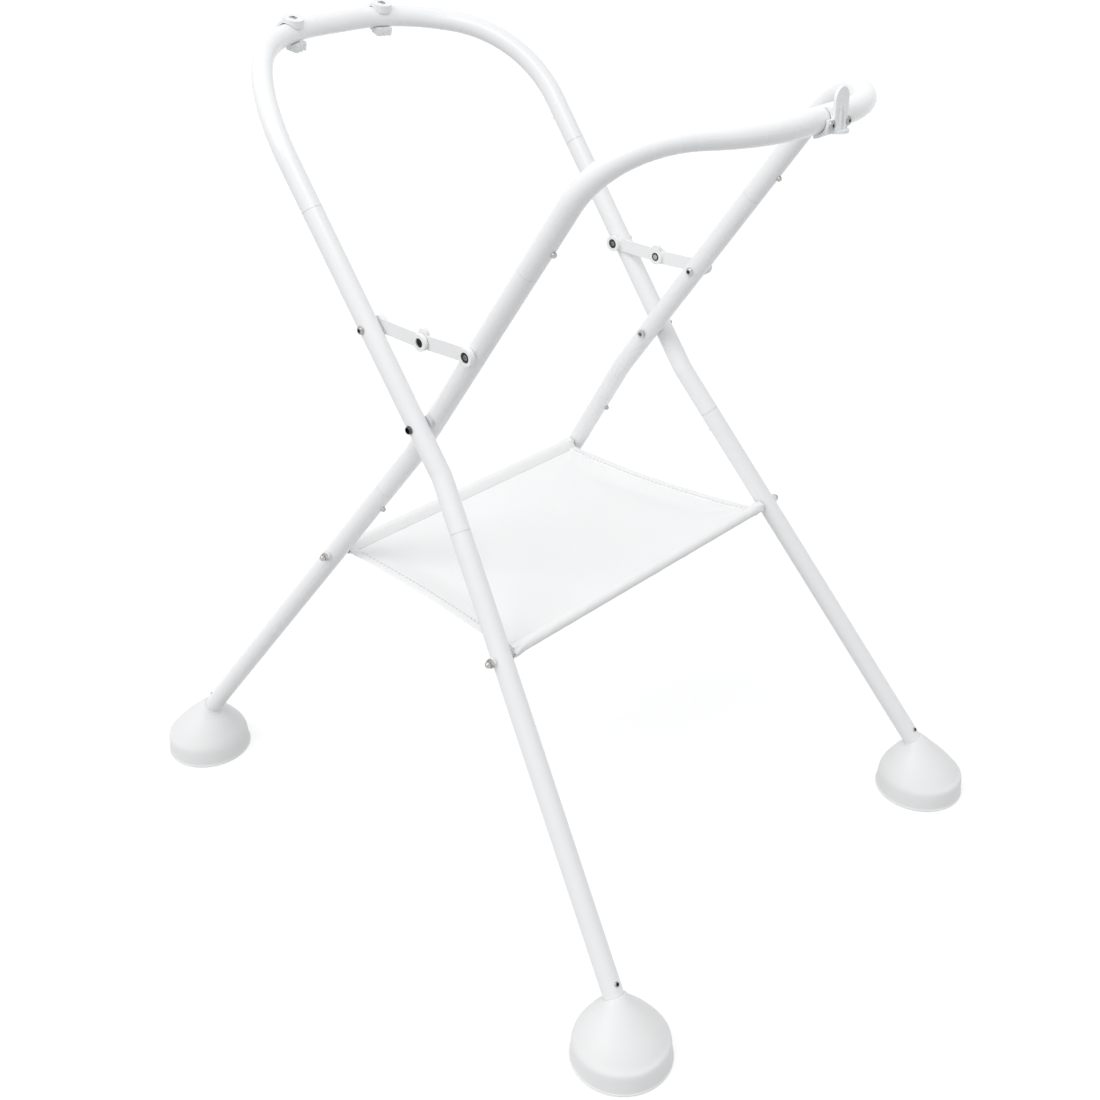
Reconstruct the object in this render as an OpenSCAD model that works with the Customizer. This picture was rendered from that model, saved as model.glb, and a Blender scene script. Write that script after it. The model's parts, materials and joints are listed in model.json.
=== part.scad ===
// Folding baby bath stand: two crossed tube frames on a pair of pivots, folding braces that
// hold them open, a cloth shelf on two rods, bell feet and clips for the rim of the bath.
// X runs across the stand, Y from the feet of the outer frame to those of the inner frame.
// The origin is on the floor, at the middle of the footprint.

/* [Tube] */
// Outside diameter of every frame tube
tube_d = 25; // [23:0.5:26]
// Wall of the frame tubes
tube_wall = 1.2; // [1:0.1:1.5]
// Wall of the reduced tube ends that plug into the next tube
spigot_wall = 1.2; // [1:0.1:1.5]
// Length of a reduced tube end
spigot_len = 58; // [52:1:62]
// Visible seam where two tubes meet
seam = 0.3; // [0.2:0.1:0.5]

/* [Frames] */
// Height of the pivot above the floor
pivot_h = 620; // [590:5:650]
// Lean of each frame from the vertical when the stand is open
lean = 36.2; // [35:0.2:37.4]
// Half distance between the tubes of the outer frame
outer_half = 220; // [218:1:240]
// From the pivot up to the tube joint of the outer frame
outer_upper = 271; // [262:1:276]
// From the pivot up to the tube joint of the inner frame
inner_upper = 259; // [250:1:270]
// From the pivot down to the leg bend of the outer frame
outer_bend = 64; // [60:1:70]
// From the pivot down to the leg bend of the inner frame
inner_bend = 72; // [68:1:78]
// Outward splay of the outer legs below the bend
outer_splay = 9.4; // [8:0.2:10.2]
// Outward splay of the inner legs below the bend
inner_splay = 11.2; // [10.6:0.2:12]
// Centre-line radius of the leg bend
leg_bend_r = 60; // [50:5:80]
// From the leg bend down to the tube joint of the outer frame
outer_lower = 67; // [60:1:75]
// From the leg bend down to the tube joint of the inner frame
inner_lower = 72; // [65:1:80]

/* [Top rails] */
// From the pivot up to the corner bend of the outer rail
outer_arm = 331; // [326:1:336]
// From the pivot up to the corner bend of the inner rail
inner_arm = 356; // [350:1:360]
// Length of the straight middle of the outer rail
outer_bar = 61; // [50:1:70]
// Length of the straight middle of the inner rail
inner_bar = 67; // [55:1:75]
// Angle of the corner bend of the outer rail
outer_corner = 57; // [55:1:59]
// Angle of the corner bend of the inner rail
inner_corner = 65; // [63:1:67]
// Direction of the outer rail's corner bend, turned from the inside towards the outside of the stand
outer_toward = 31.5; // [30:0.5:33]
// Direction of the inner rail's corner bend
inner_toward = 38; // [36.5:0.5:39.5]

/* [Braces] */
// From the pivot up to the brace screws
brace_up = 125; // [115:1:135]
// Drop of the knuckle below the line of the screws, which locks the brace
knuckle_dip = 2.2; // [1.6:0.2:3]
// Thickness of a brace strip
strip_t = 1.6; // [1.4:0.1:1.8]
// Width of a brace strip
strip_w = 17; // [15:0.5:18]
// Gap between the strips, and between a strip and its tube
strip_gap = 0.4; // [0.3:0.05:0.5]
// Diameter of the boss at a brace screw
boss_d = 20.5; // [19:0.5:22]
// Height of that boss
boss_h = 6; // [5.6:0.2:6.6]
// Diameter of the boss at the knuckle
knuckle_d = 20; // [18:0.5:21]
// Height of the knuckle boss
knuckle_h = 4; // [3.8:0.2:4.6]
// Diameter of the thumb tab over the knuckle
thumb_d = 13; // [11:1:13]
// Height of the thumb tab's centre over the knuckle
thumb_up = 9; // [8:0.5:9.5]

/* [Feet] */
// Diameter of the base of a foot
foot_d = 120; // [114:2:126]
// Thickness of the rim at the base
rim_h = 2.5; // [2:0.5:4]
// Step from the rim in to the skirt
rim_step = 1.5; // [1:0.5:2.5]
// Draft of the skirt
skirt_draft = 2; // [1:0.5:4]
// Height of the crease between skirt and bell
crease_h = 30; // [26:1:34]
// Height of the tube end in the foot
tube_end_h = 77; // [74:1:84]
// From the tube's line at the floor to the middle of the foot, along Y
foot_inset = 39; // [36:1:42]
// Height of the bell's lower ring
bell_low_h = 39; // [36:1:42]
// Diameter of that ring
bell_low_d = 95; // [90:1:98]
// Height of the bell's upper ring
bell_high_h = 61; // [58:1:63]
// Diameter of that ring
bell_high_d = 58; // [55:1:61]
// Shift of that ring towards the leg
bell_high_in = 8.5; // [6:0.5:10]
// Diameter of the collar at the top of the foot
collar_d = 29; // [28:0.5:32]
// Length of the plug inside the tube
plug_len = 35; // [30:1:45]

/* [Buttons] */
// Diameter of a snap button
button_d = 6.6; // [6:0.2:7]
// How far a button stands out of the tube
button_out = 4.5; // [4:0.5:5]
// From the upper joint up to its button
button_up = 41; // [36:1:44]
// From the lower joint down to its button
button_down = 25; // [22:1:30]
// Thickness of the leaf spring behind a button
leaf_t = 0.6; // [0.4:0.1:0.8]
// Width of that leaf spring
leaf_w = 6; // [5:0.5:7]

/* [Shelf] */
// From the pivot down to the shelf rods, along the frame
shelf_down = 278; // [270:1:290]
// Diameter of a shelf rod
rod_d = 12; // [10:0.5:13]
// Thickness of the cloth
cloth_t = 1.2; // [1:0.1:1.6]
// Sag of the cloth at its middle
sag = 9; // [4:1:16]
// How far the free edges of the cloth are drawn in
edge_in = 9; // [4:1:14]

/* [Rim clips] */
// Place of the left clip on the outer rail
clip_left_x = -79; // [-84:1:-74]
// Place of the right clip on the outer rail
clip_right_x = 65; // [60:1:72]
// Place of the clip on the inner rail
clip_inner_x = 5; // [-10:1:20]
// Width of an outer clip's round head
head_d = 26; // [24:1:27]
// Height of that head over the rail
head_up = 5.5; // [5:0.5:7]
// Width of the finger tab on the inner clip
tab_w = 22; // [20:1:24]
// Height of the finger tab over the rail
tab_up = 18; // [14:1:20]
// Distance between the two screws of the inner clip
clip_screw_gap = 28; // [27:1:30]

/* [Fasteners] */
// Diameter of the bolts and of the rods' studs
bolt_d = 6; // [5:0.5:6]
// Diameter of a bolt head
bolt_head_d = 10.5; // [10:0.5:12]
// Width of a nut across its corners
nut_d = 11.4; // [10.8:0.1:11.6]
// Thickness of a nut
nut_h = 4; // [3.6:0.2:4.2]
// Diameter of the small screws
screw_d = 4; // [3:0.5:4.5]

/* [Clearances] */
// Between a bolt or screw and its hole, at the radius
hole_clear = 0.1; // [0.08:0.01:0.15]
// Between a pivot bolt and the part that turns on it, at the radius
turn_clear = 0.05; // [0.03:0.01:0.08]
// Between a plug or button and what it fits in, at the radius
plug_clear = 0.1; // [0.08:0.01:0.12]
// Between a piece and the one that it rests on
seat = 0.1; // [0.05:0.05:0.2]
// Between a piece and one that moves past it
run_gap = 0.3; // [0.3:0.05:0.4]

/* [Hidden] */
$fn = 48;
hull_fn = 32;

// The two frames: 0 is the outer one, 1 the inner one
OUTER = 0;
INNER = 1;

// Tube
tube_r = tube_d / 2;
bore_r = tube_r - tube_wall;
spigot_r = bore_r - plug_clear;
spigot_bore_r = spigot_r - spigot_wall;
neck_len = 3;
// Each stretch of a bent tube stops this far short of the next, and a core inside the wall joins them
hair = 0.005;
core_len = 2;
core_skin = 0.25;

// Frame sizes by frame
pivot_gap = 2 * strip_t + 3 * strip_gap;
half = [outer_half, outer_half - tube_d - pivot_gap];
upper = [outer_upper, inner_upper];
bend_down = [outer_bend, inner_bend];
splay = [outer_splay, inner_splay];
lower = [outer_lower, inner_lower];
gap_x = half[OUTER] - tube_r - pivot_gap / 2;

// Length down the leg from its bend to a height above the floor
function leg_len(f, height) = ((pivot_h - height) / cos(lean) - bend_down[f]) / cos(splay[f]);
leg_end = [leg_len(OUTER, tube_end_h), leg_len(INNER, tube_end_h)];

// Rail bends, as turns of the direction in which the tube runs
function turn_z(a) = [[cos(a), -sin(a), 0], [sin(a), cos(a), 0], [0, 0, 1]];
function turn_y(a) = [[cos(a), 0, sin(a)], [0, 1, 0], [-sin(a), 0, cos(a)]];
function bend_turn(toward, angle) = turn_z(toward) * turn_y(angle) * turn_z(-toward);
// How far a bend of radius 1 carries the tube
function bend_reach(toward, angle) = turn_z(toward) * [1 - cos(angle), 0, sin(angle)];
arm = [outer_arm, inner_arm];
corner_bend = [outer_corner, inner_corner];
corner_toward = [180 - outer_toward, 180 - inner_toward];
after_corner = [for (f = [OUTER, INNER]) bend_turn(corner_toward[f], corner_bend[f])];
// The closing bend ends with the tube running along -X
closing_toward = [for (t = after_corner) atan2(-t[0][1], -t[0][0])];
closing_bend = [for (t = after_corner) acos(-t[0][2])];
rail_reach = [for (f = [OUTER, INNER]) bend_reach(corner_toward[f], corner_bend[f])
    + after_corner[f] * bend_reach(closing_toward[f], closing_bend[f])];
// The radius of the bends follows from the width of the frame and the straight middle of its rail
bar_half = [outer_bar / 2, inner_bar / 2];
rail_r = [for (f = [OUTER, INNER]) (bar_half[f] - half[f]) / rail_reach[f][0]];
to_bend_centre = [for (f = [OUTER, INNER]) after_corner[f]
    * bend_turn(closing_toward[f], closing_bend[f]) * [cos(closing_toward[f]), sin(closing_toward[f]), 0]];
bar_tilt = [for (c = to_bend_centre) atan2(-c[2], -c[1])];

// Braces
brace_y = brace_up * sin(lean);
brace_z = pivot_h + brace_up * cos(lean);
link_len = norm([brace_y, knuckle_dip]);
link_dip = asin(knuckle_dip / link_len);
pocket_floor = 1.5;
knuckle_floor = 0.8;

// Feet
foot_r = foot_d / 2;
skirt_r = foot_r - rim_step;
skirt_top_r = skirt_r - skirt_draft;
ring_h = 0.4;
leg_tilt = [for (s = splay) acos(cos(s) * cos(lean))];
foot_y = pivot_h * tan(lean) - foot_inset;
function foot_x(f) = half[f] + leg_len(f, 0) * sin(splay[f]) - foot_inset * tan(splay[f]) / sin(lean);
function foot_turn(f) = atan2(cos(splay[f]) * sin(lean), -sin(splay[f]));
// From the middle of the foot to the middle of its collar
function collar_in(f) = tube_end_h * tan(leg_tilt[f])
    - foot_inset * sin(leg_tilt[f]) / (cos(splay[f]) * sin(lean));
foot_screw_up = 13;
foot_screw_len = 8;

// Snap buttons
button_r = button_d / 2;
flange_r = button_r + 1.3;
flange_t = 1.2;
flange_top = sqrt(pow(spigot_bore_r - run_gap, 2) - pow(flange_r, 2));
leaf_top = flange_top - flange_t - seat;
leaf_bottom = -sqrt(pow(spigot_bore_r - seat, 2) - pow(leaf_w / 2, 2));
leaf_len = 30;
leaf_flat = 5;

// Shelf
rod_r = rod_d / 2;
stud_r = bolt_d / 2;
washer_r = 6;
washer_t = 2.5;
cap_r = 4.2;
shelf_y = shelf_down * sin(lean);
shelf_z = pivot_h - shelf_down * cos(lean);
function leg_x(f) = half[f] + (shelf_down - bend_down[f]) * tan(splay[f]);
// From the leg's axis to a flat disc of radius r that lies against its sloping side
function leg_side(f, r) = tube_r / cos(splay[f]) + r * tan(splay[f]) + seat;
function rod_half(f) = leg_x(f) - leg_side(f, rod_r);
sleeve_r = rod_r + run_gap + cloth_t;
cloth_end = 3;
cloth_steps = 24;

// Rim clips, a little larger in the bore than the rail, because the rail is curved there
clip_bore_r = tube_r + 0.75;
clip_wall = 3;
clip_r = clip_bore_r + clip_wall;
clip_len = 24;
clip_head_r = clip_r + 0.5;
clip_boss_d = 2.6 * screw_d;
clip_screw_z = -3;
grip_w = 21;
grip_out = 2;
grip_down = 6.5;
rib_w = 2;
rib_out = 2;
rib_pitch = 7;

// ---- Places ----

module in_frame(f) mirror([0, f, 0]) translate([0, 0, pivot_h]) rotate([-lean, 0, 0]) children();

module in_leg(f) translate([half[f], 0, -bend_down[f]]) rotate([0, -splay[f], 0]) children();

// The gap between the frames, with the frame's own tube on the +X side of it
module in_gap(f) translate([gap_x, 0, 0]) mirror([f, 0, 0]) children();

module on_side(right) mirror([right ? 0 : 1, 0, 0]) children();

module on_both_sides() {
    on_side(true) children();
    on_side(false) children();
}

// Turns a shape drawn along Z to run along X
module along_x() rotate([0, 90, 0]) children();

module at_button(f, is_upper) {
    if (is_upper) translate([half[f], 0, upper[f] + button_up]) children();
    else in_leg(f) translate([0, 0, -lower[f] - button_down]) children();
}

module at_foot_screw(f)
    in_leg(f) translate([0, 0, foot_screw_up - leg_end[f]]) rotate([90, 0, 0]) children();

// The middle of the rail
module at_bar(f)
    translate([0, rail_r[f] * rail_reach[f][1], arm[f] + rail_r[f] * rail_reach[f][2]]) children();

// A place on the rail at distance x from its middle: X along the rail, Y outwards, Z up
module on_rail(f, x) {
    past = max(0, abs(x) - bar_half[f]);
    at_bar(f) rotate([bar_tilt[f], 0, 0])
        translate([x - past * sign(x), -rail_r[f], 0])
            rotate([0, 0, -sign(x) * asin(past / rail_r[f])])
                translate([0, rail_r[f], 0]) children();
}

module at_clip_screws(is_outer) {
    if (is_outer) for (x = [clip_left_x, clip_right_x]) on_rail(OUTER, x) children();
    else on_rail(INNER, clip_inner_x) at_clip_sides() children();
}

// The two screws of the inner clip, one each side of its tab, pointing outwards
module at_clip_sides() for (side = [-1, 1])
    translate([side * clip_screw_gap / 2, 0, clip_screw_z]) rotate([-90, 0, 0]) children();

// ---- Tubes ----

module ring(outer_r, inner_r) difference() { circle(outer_r); circle(inner_r); }

module pipe(length) linear_extrude(length) ring(tube_r, bore_r);

// The reduced end of a tube, pointing up, with the neck that joins it to the tube below
module spigot() {
    translate([0, 0, -neck_len]) linear_extrude(spigot_len + neck_len) ring(spigot_r, spigot_bore_r);
    translate([0, 0, -neck_len]) linear_extrude(neck_len) ring(tube_r - 0.5, spigot_bore_r);
}

module arc(radius, angle) rotate_extrude(angle = angle - hair / radius * 180 / PI)
    translate([radius, 0]) ring(tube_r, bore_r);

module core() translate([0, 0, -core_len / 2]) linear_extrude(core_len)
    ring(tube_r - core_skin, bore_r + core_skin);

// A bend of the rail, and what follows it
module rail_bend(radius, toward, angle) {
    rotate([0, 0, toward]) {
        core();
        translate([radius, 0, 0]) rotate([90, 0, 180]) arc(radius, angle);
        translate([radius * (1 - cos(angle)), 0, radius * sin(angle)])
            rotate([0, angle, 0]) rotate([0, 0, -toward]) children();
    }
}

module cross_hole(radius) along_x() cylinder(r = radius, h = 4 * tube_d, center = true);

module side_hole(radius) rotate([-90, 0, 0]) cylinder(r = radius, h = tube_d);

module top_tube(f) {
    color("whitesmoke") in_frame(f) difference() {
        union() {
            on_both_sides() {
                translate([half[f], 0, upper[f] + seam]) pipe(arm[f] - upper[f] - seam - hair);
                translate([half[f], 0, arm[f]]) rail_bend(rail_r[f], corner_toward[f], corner_bend[f])
                    rail_bend(rail_r[f], closing_toward[f], closing_bend[f]) core();
            }
            at_bar(f) translate([-bar_half[f], 0, 0]) along_x() pipe(2 * bar_half[f]);
        }
        on_both_sides() at_button(f, true) side_hole(button_r + plug_clear);
        at_clip_screws(f == OUTER) cylinder(r = screw_d / 2 + hole_clear, h = tube_d);
    }
}

module mid_tube(f) {
    tangent = leg_bend_r * tan(splay[f] / 2);
    color("whitesmoke") in_frame(f) difference() {
        union() {
            translate([half[f], 0, tangent - bend_down[f]]) {
                translate([0, 0, hair]) pipe(upper[f] + bend_down[f] - tangent - hair);
                core();
                translate([leg_bend_r, 0, 0]) rotate([90, 0, 0]) rotate([0, 0, 180])
                    arc(leg_bend_r, splay[f]);
            }
            in_leg(f) {
                translate([0, 0, -lower[f]]) pipe(lower[f] - tangent - hair);
                translate([0, 0, -tangent]) core();
            }
            translate([half[f], 0, upper[f]]) spigot();
            in_leg(f) translate([0, 0, -lower[f]]) mirror([0, 0, 1]) spigot();
        }
        // The outer tube is fixed to the pivot bolt, and the inner one turns on it
        translate([half[f], 0, 0]) cross_hole(bolt_d / 2 + (f == OUTER ? hole_clear : turn_clear));
        translate([half[f], 0, brace_up]) cross_hole(bolt_d / 2 + hole_clear);
        at_button(f, true) side_hole(button_r + plug_clear);
        at_button(f, false) side_hole(button_r + plug_clear);
    }
}

module leg_tube(f) {
    color("whitesmoke") in_frame(f) difference() {
        in_leg(f) translate([0, 0, -leg_end[f]]) pipe(leg_end[f] - lower[f] - seam);
        translate([leg_x(f), 0, -shelf_down]) cross_hole(stud_r + hole_clear);
        at_button(f, false) side_hole(button_r + plug_clear);
        at_foot_screw(f) cylinder(r = screw_d / 2 + hole_clear, h = tube_d);
    }
}

// ---- Feet ----

module bell_ring(diameter) cylinder(d = diameter, h = ring_h, $fn = hull_fn);

// Bell foot about its base, with the leg coming in from the +X side
module bell(f) {
    cylinder(r = foot_r, h = rim_h);
    cylinder(r1 = skirt_r, r2 = skirt_top_r, h = crease_h);
    difference() {
        hull() {
            translate([0, 0, crease_h]) bell_ring(2 * skirt_top_r);
            // Two level rings give the bell its round shoulder
            translate([0, 0, bell_low_h]) bell_ring(bell_low_d);
            translate([bell_high_in, 0, bell_high_h]) bell_ring(bell_high_d);
            at_collar(f) translate([0, 0, -seat - ring_h]) bell_ring(collar_d);
        }
        // Nothing but the plug rises past the end of the tube
        at_collar(f) translate([0, 0, foot_r - seat])
            cube([4 * foot_r, 4 * foot_r, 2 * foot_r], center = true);
    }
    at_collar(f) translate([0, 0, -tube_r]) cylinder(r = spigot_r, h = plug_len + tube_r);
}

module at_collar(f) translate([collar_in(f), 0, tube_end_h]) rotate([0, leg_tilt[f], 0]) children();

module foot(f) {
    color("white") difference() {
        mirror([0, f, 0]) translate([foot_x(f), -foot_y, 0]) rotate([0, 0, foot_turn(f)]) bell(f);
        in_frame(f) at_foot_screw(f) cylinder(r = screw_d / 2 + hole_clear, h = tube_d);
    }
}

module foot_screw(f) {
    color("dimgray") in_frame(f) at_foot_screw(f) {
        translate([0, 0, tube_r - foot_screw_len]) cylinder(d = screw_d, h = foot_screw_len + seat);
        translate([0, 0, tube_r + seat]) cylinder(d1 = screw_d + 2.4, d2 = screw_d + 0.8, h = 1.4);
    }
}

// ---- Snap buttons ----

module button(f, is_upper) {
    color("silver") in_frame(f) at_button(f, is_upper) rotate([-90, 0, 0]) {
        translate([0, 0, flange_top - flange_t]) cylinder(r = flange_r, h = flange_t);
        translate([0, 0, flange_top]) cylinder(r = button_r, h = tube_r + button_out - button_r - flange_top);
        translate([0, 0, tube_r + button_out - button_r]) sphere(button_r);
    }
}

// A thin leaf from one point of the Y-Z plane to another
module leaf(from, to) {
    run = to - from;
    translate([0, from[0], from[1]]) rotate([atan2(run[1], run[0]), 0, 0]) {
        translate([-leaf_w / 2, 0, -leaf_t / 2]) cube([leaf_w, norm(run), leaf_t]);
        along_x() cylinder(d = leaf_t, h = leaf_w, center = true);
    }
}

// A V of spring leaf inside the tube, which pushes the button out
module button_spring(f, is_upper) {
    high = leaf_top - leaf_t / 2;
    low = leaf_bottom + leaf_t / 2;
    tip = [(high + low) / 2, -leaf_len];
    color("darkgray") in_frame(f) at_button(f, is_upper) {
        leaf([high, leaf_flat], [high, -leaf_flat]);
        leaf([high, -leaf_flat], tip);
        leaf(tip, [low, -leaf_flat]);
        leaf([low, -leaf_flat], [low, leaf_flat]);
    }
}

// ---- Braces ----

// One brace strip about its screw: it runs to -Y, with its tube on the +X side
module brace_strip(has_thumb_tab) {
    difference() {
        union() {
            along_strip() {
                circle(d = strip_w);
                translate([-link_len, 0]) circle(d = strip_w);
                translate([-link_len, -strip_w / 2]) square([link_len, strip_w]);
            }
            translate([-boss_h, 0, 0]) along_x() cylinder(d = boss_d, h = boss_h + strip_t / 2);
            translate([strip_t / 2, -link_len, 0]) along_x()
                cylinder(d = knuckle_d, h = knuckle_h + strip_t / 2);
            if (has_thumb_tab) thumb_tab();
        }
        cross_hole(bolt_d / 2 + turn_clear);
        translate([0, -link_len, 0]) cross_hole(bolt_d / 2 + hole_clear);
        translate([-boss_h - 1, 0, 0]) along_x() cylinder(d = nut_d + 1, h = boss_h + 1 - pocket_floor);
        translate([strip_t + knuckle_floor, -link_len, 0]) along_x()
            cylinder(d = bolt_head_d + 2 * run_gap, h = knuckle_h);
    }
}

module along_strip() rotate([90, 0, 90]) linear_extrude(strip_t) children();

module thumb_tab() {
    translate([0, -link_len, thumb_up]) along_x() cylinder(d = thumb_d, h = strip_t + knuckle_h);
    along_strip() translate([-link_len - thumb_d * 0.4, 0]) square([thumb_d * 0.8, thumb_up]);
}

module at_brace(f) mirror([0, f, 0]) in_gap(f) translate([strip_gap / 2, brace_y, brace_z])
    rotate([link_dip, 0, 0]) children();

module brace(f) color("white") at_brace(f) brace_strip(f == INNER);

// The knuckle's rivet is in two halves, one in each strip, so that it can be taken apart
module knuckle_half(f, is_nut) {
    color("silver") at_brace(f) translate([0, -link_len, 0]) along_x() {
        cylinder(d = bolt_d, h = strip_t + knuckle_floor + seat);
        translate([0, 0, strip_t + knuckle_floor + seat])
            if (is_nut) cylinder(d = nut_d - 1, h = knuckle_h - knuckle_floor - 2 * seat, $fn = 6);
            else pan_head(knuckle_h - knuckle_floor - 2 * seat);
    }
}

// A pan head with a cross slot, its flat side down
module pan_head(height) {
    difference() {
        union() {
            cylinder(d = bolt_head_d, h = height * 0.5);
            translate([0, 0, height * 0.5])
                cylinder(d1 = bolt_head_d, d2 = bolt_head_d * 0.6, h = height * 0.5);
        }
        for (a = [0, 90]) rotate([0, 0, a])
            translate([-bolt_head_d / 4, -0.5, height * 0.6]) cube([bolt_head_d / 2, 1, height]);
    }
}

module nut() difference() {
    cylinder(d = nut_d, h = nut_h, $fn = 6);
    translate([0, 0, -1]) cylinder(r = bolt_d / 2 + turn_clear, h = nut_h + 2);
}

// Screws run from the far side of the tube to the pocket in the brace's boss
tube_far = pivot_gap / 2 + tube_d;
brace_nut_x = strip_gap / 2 - pocket_floor - seat - nut_h;

module brace_screw(f) {
    color("silver") in_frame(f) in_gap(f) translate([0, 0, brace_up]) {
        translate([brace_nut_x, 0, 0]) along_x() cylinder(d = bolt_d, h = tube_far + seat - brace_nut_x);
        translate([tube_far + seat, 0, 0]) along_x() pan_head(3);
    }
}

module brace_nut(f)
    color("gray") in_frame(f) in_gap(f) translate([brace_nut_x, 0, brace_up]) along_x() nut();

// ---- Pivots ----

pivot_nut_x = -pivot_gap / 2 - tube_d - run_gap - nut_h;

module pivot_bolt() {
    color("gray") in_frame(OUTER) in_gap(OUTER) {
        translate([pivot_nut_x, 0, 0]) along_x() cylinder(d = bolt_d, h = tube_far + seat - pivot_nut_x);
        translate([tube_far + seat, 0, 0]) along_x() pan_head(3);
    }
}

module pivot_nut() color("gray") in_frame(OUTER) in_gap(OUTER) translate([pivot_nut_x, 0, 0]) along_x() nut();

// The spacer stands off both tubes, and the nut holds it to the outer one
module pivot_spacer() {
    spacer_h = pivot_gap - run_gap - seat;
    color("whitesmoke") in_frame(OUTER) in_gap(OUTER) translate([run_gap - pivot_gap / 2, 0, 0]) along_x()
        difference() {
            cylinder(d = strip_w, h = spacer_h);
            translate([0, 0, -1]) cylinder(r = bolt_d / 2 + hole_clear, h = spacer_h + 2);
        }
}

// ---- Shelf ----

cap_nut_h = 5;
function washer_x(f) = leg_x(f) + leg_side(f, washer_r);
function stud_x(f) = washer_x(f) + washer_t + seat + cap_nut_h;

module shelf_rod(f) {
    color("whitesmoke") in_frame(f) translate([0, 0, -shelf_down]) along_x() {
        cylinder(r = rod_r, h = 2 * rod_half(f), center = true);
        cylinder(r = stud_r, h = 2 * stud_x(f), center = true);
    }
}

module rod_washer(f) {
    color("white") in_frame(f) translate([washer_x(f), 0, -shelf_down]) along_x() difference() {
        cylinder(r = washer_r, h = washer_t);
        translate([0, 0, -1]) cylinder(r = stud_r + hole_clear, h = washer_t + 2);
    }
}

module rod_cap_nut(f) {
    color("silver") in_frame(f) translate([washer_x(f) + washer_t + seat, 0, -shelf_down]) along_x()
        difference() {
            union() {
                cylinder(d = nut_d, h = nut_h, $fn = 6);
                cylinder(r = cap_r, h = cap_nut_h);
                translate([0, 0, cap_nut_h]) sphere(cap_r);
            }
            translate([0, 0, -1]) cylinder(r = stud_r + turn_clear, h = cap_nut_h + 1 + seat);
        }
}

// Height of the cloth over the rods' line, and half of its width, along the shelf
function cloth_z(y) = -sag * (1 - pow(y / shelf_y, 2));
function cloth_half(y) = (rod_half(OUTER) * (shelf_y - y) + rod_half(INNER) * (shelf_y + y)) / (2 * shelf_y)
    - cloth_end - edge_in * (1 - pow(y / shelf_y, 2));

module shelf_cloth() {
    span = shelf_y - sleeve_r + cloth_t;
    ys = [for (i = [0:cloth_steps]) span * (2 * i / cloth_steps - 1)];
    turned = [for (i = [0:cloth_steps]) ys[cloth_steps - i]];
    reach = shelf_y + sleeve_r + 1;
    right = [for (i = [0:cloth_steps]) let (y = reach * (2 * i / cloth_steps - 1)) [cloth_half(y), y]];
    left = [for (i = [0:cloth_steps]) let (p = right[cloth_steps - i]) [-p[0], p[1]]];
    color("white") translate([0, 0, shelf_z]) intersection() {
        rotate([90, 0, 90]) {
            linear_extrude(4 * outer_half, center = true)
                polygon(concat([for (y = ys) [y, cloth_z(y)]],
                               [for (y = turned) [y, cloth_z(y) - cloth_t]]));
            for (side = [-1, 1]) translate([side * shelf_y, 0, 0])
                linear_extrude(4 * outer_half, center = true) ring(sleeve_r, rod_r + run_gap);
        }
        translate([0, 0, -2 * sag]) linear_extrude(4 * sag)
            polygon(concat(right, left));
    }
}

// ---- Rim clips ----

// Half a sleeve round the outside of the rail, along X
module clip_saddle(length) {
    difference() {
        along_x() cylinder(r = clip_r, h = length, center = true);
        translate([0, -clip_r, 0]) cube([length + 2, 2 * clip_r, 2 * clip_r + 2], center = true);
    }
}

module clip_bore() along_x() cylinder(r = clip_bore_r, h = 4 * clip_len, center = true);

// Clip with a round head on top and a ribbed grip under the inside of the rail
module rim_clip_outer(x) {
    color("white") in_frame(OUTER) on_rail(OUTER, x) difference() {
        union() {
            clip_saddle(clip_len);
            cylinder(d = head_d, h = tube_r + head_up);
            translate([-grip_w / 2, -tube_r - grip_out, -tube_r - grip_down])
                cube([grip_w, tube_r + grip_out, grip_down + 3]);
            for (rib = [-1, 0, 1])
                translate([rib * rib_pitch - rib_w / 2, -tube_r - grip_out - rib_out, -tube_r - grip_down])
                    cube([rib_w, rib_out + 1, grip_down + 2]);
        }
        clip_bore();
        cylinder(r = screw_d / 2 + hole_clear, h = 2 * tube_d);
        translate([0, 0, clip_head_r]) cylinder(d = clip_boss_d, h = tube_d);
        // The inside of the rail stays open between the head and the grip
        translate([0, -tube_r - 1, 0]) cube([2 * clip_len, 2 * tube_r, 2 * tube_r - 8], center = true);
    }
}

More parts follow.
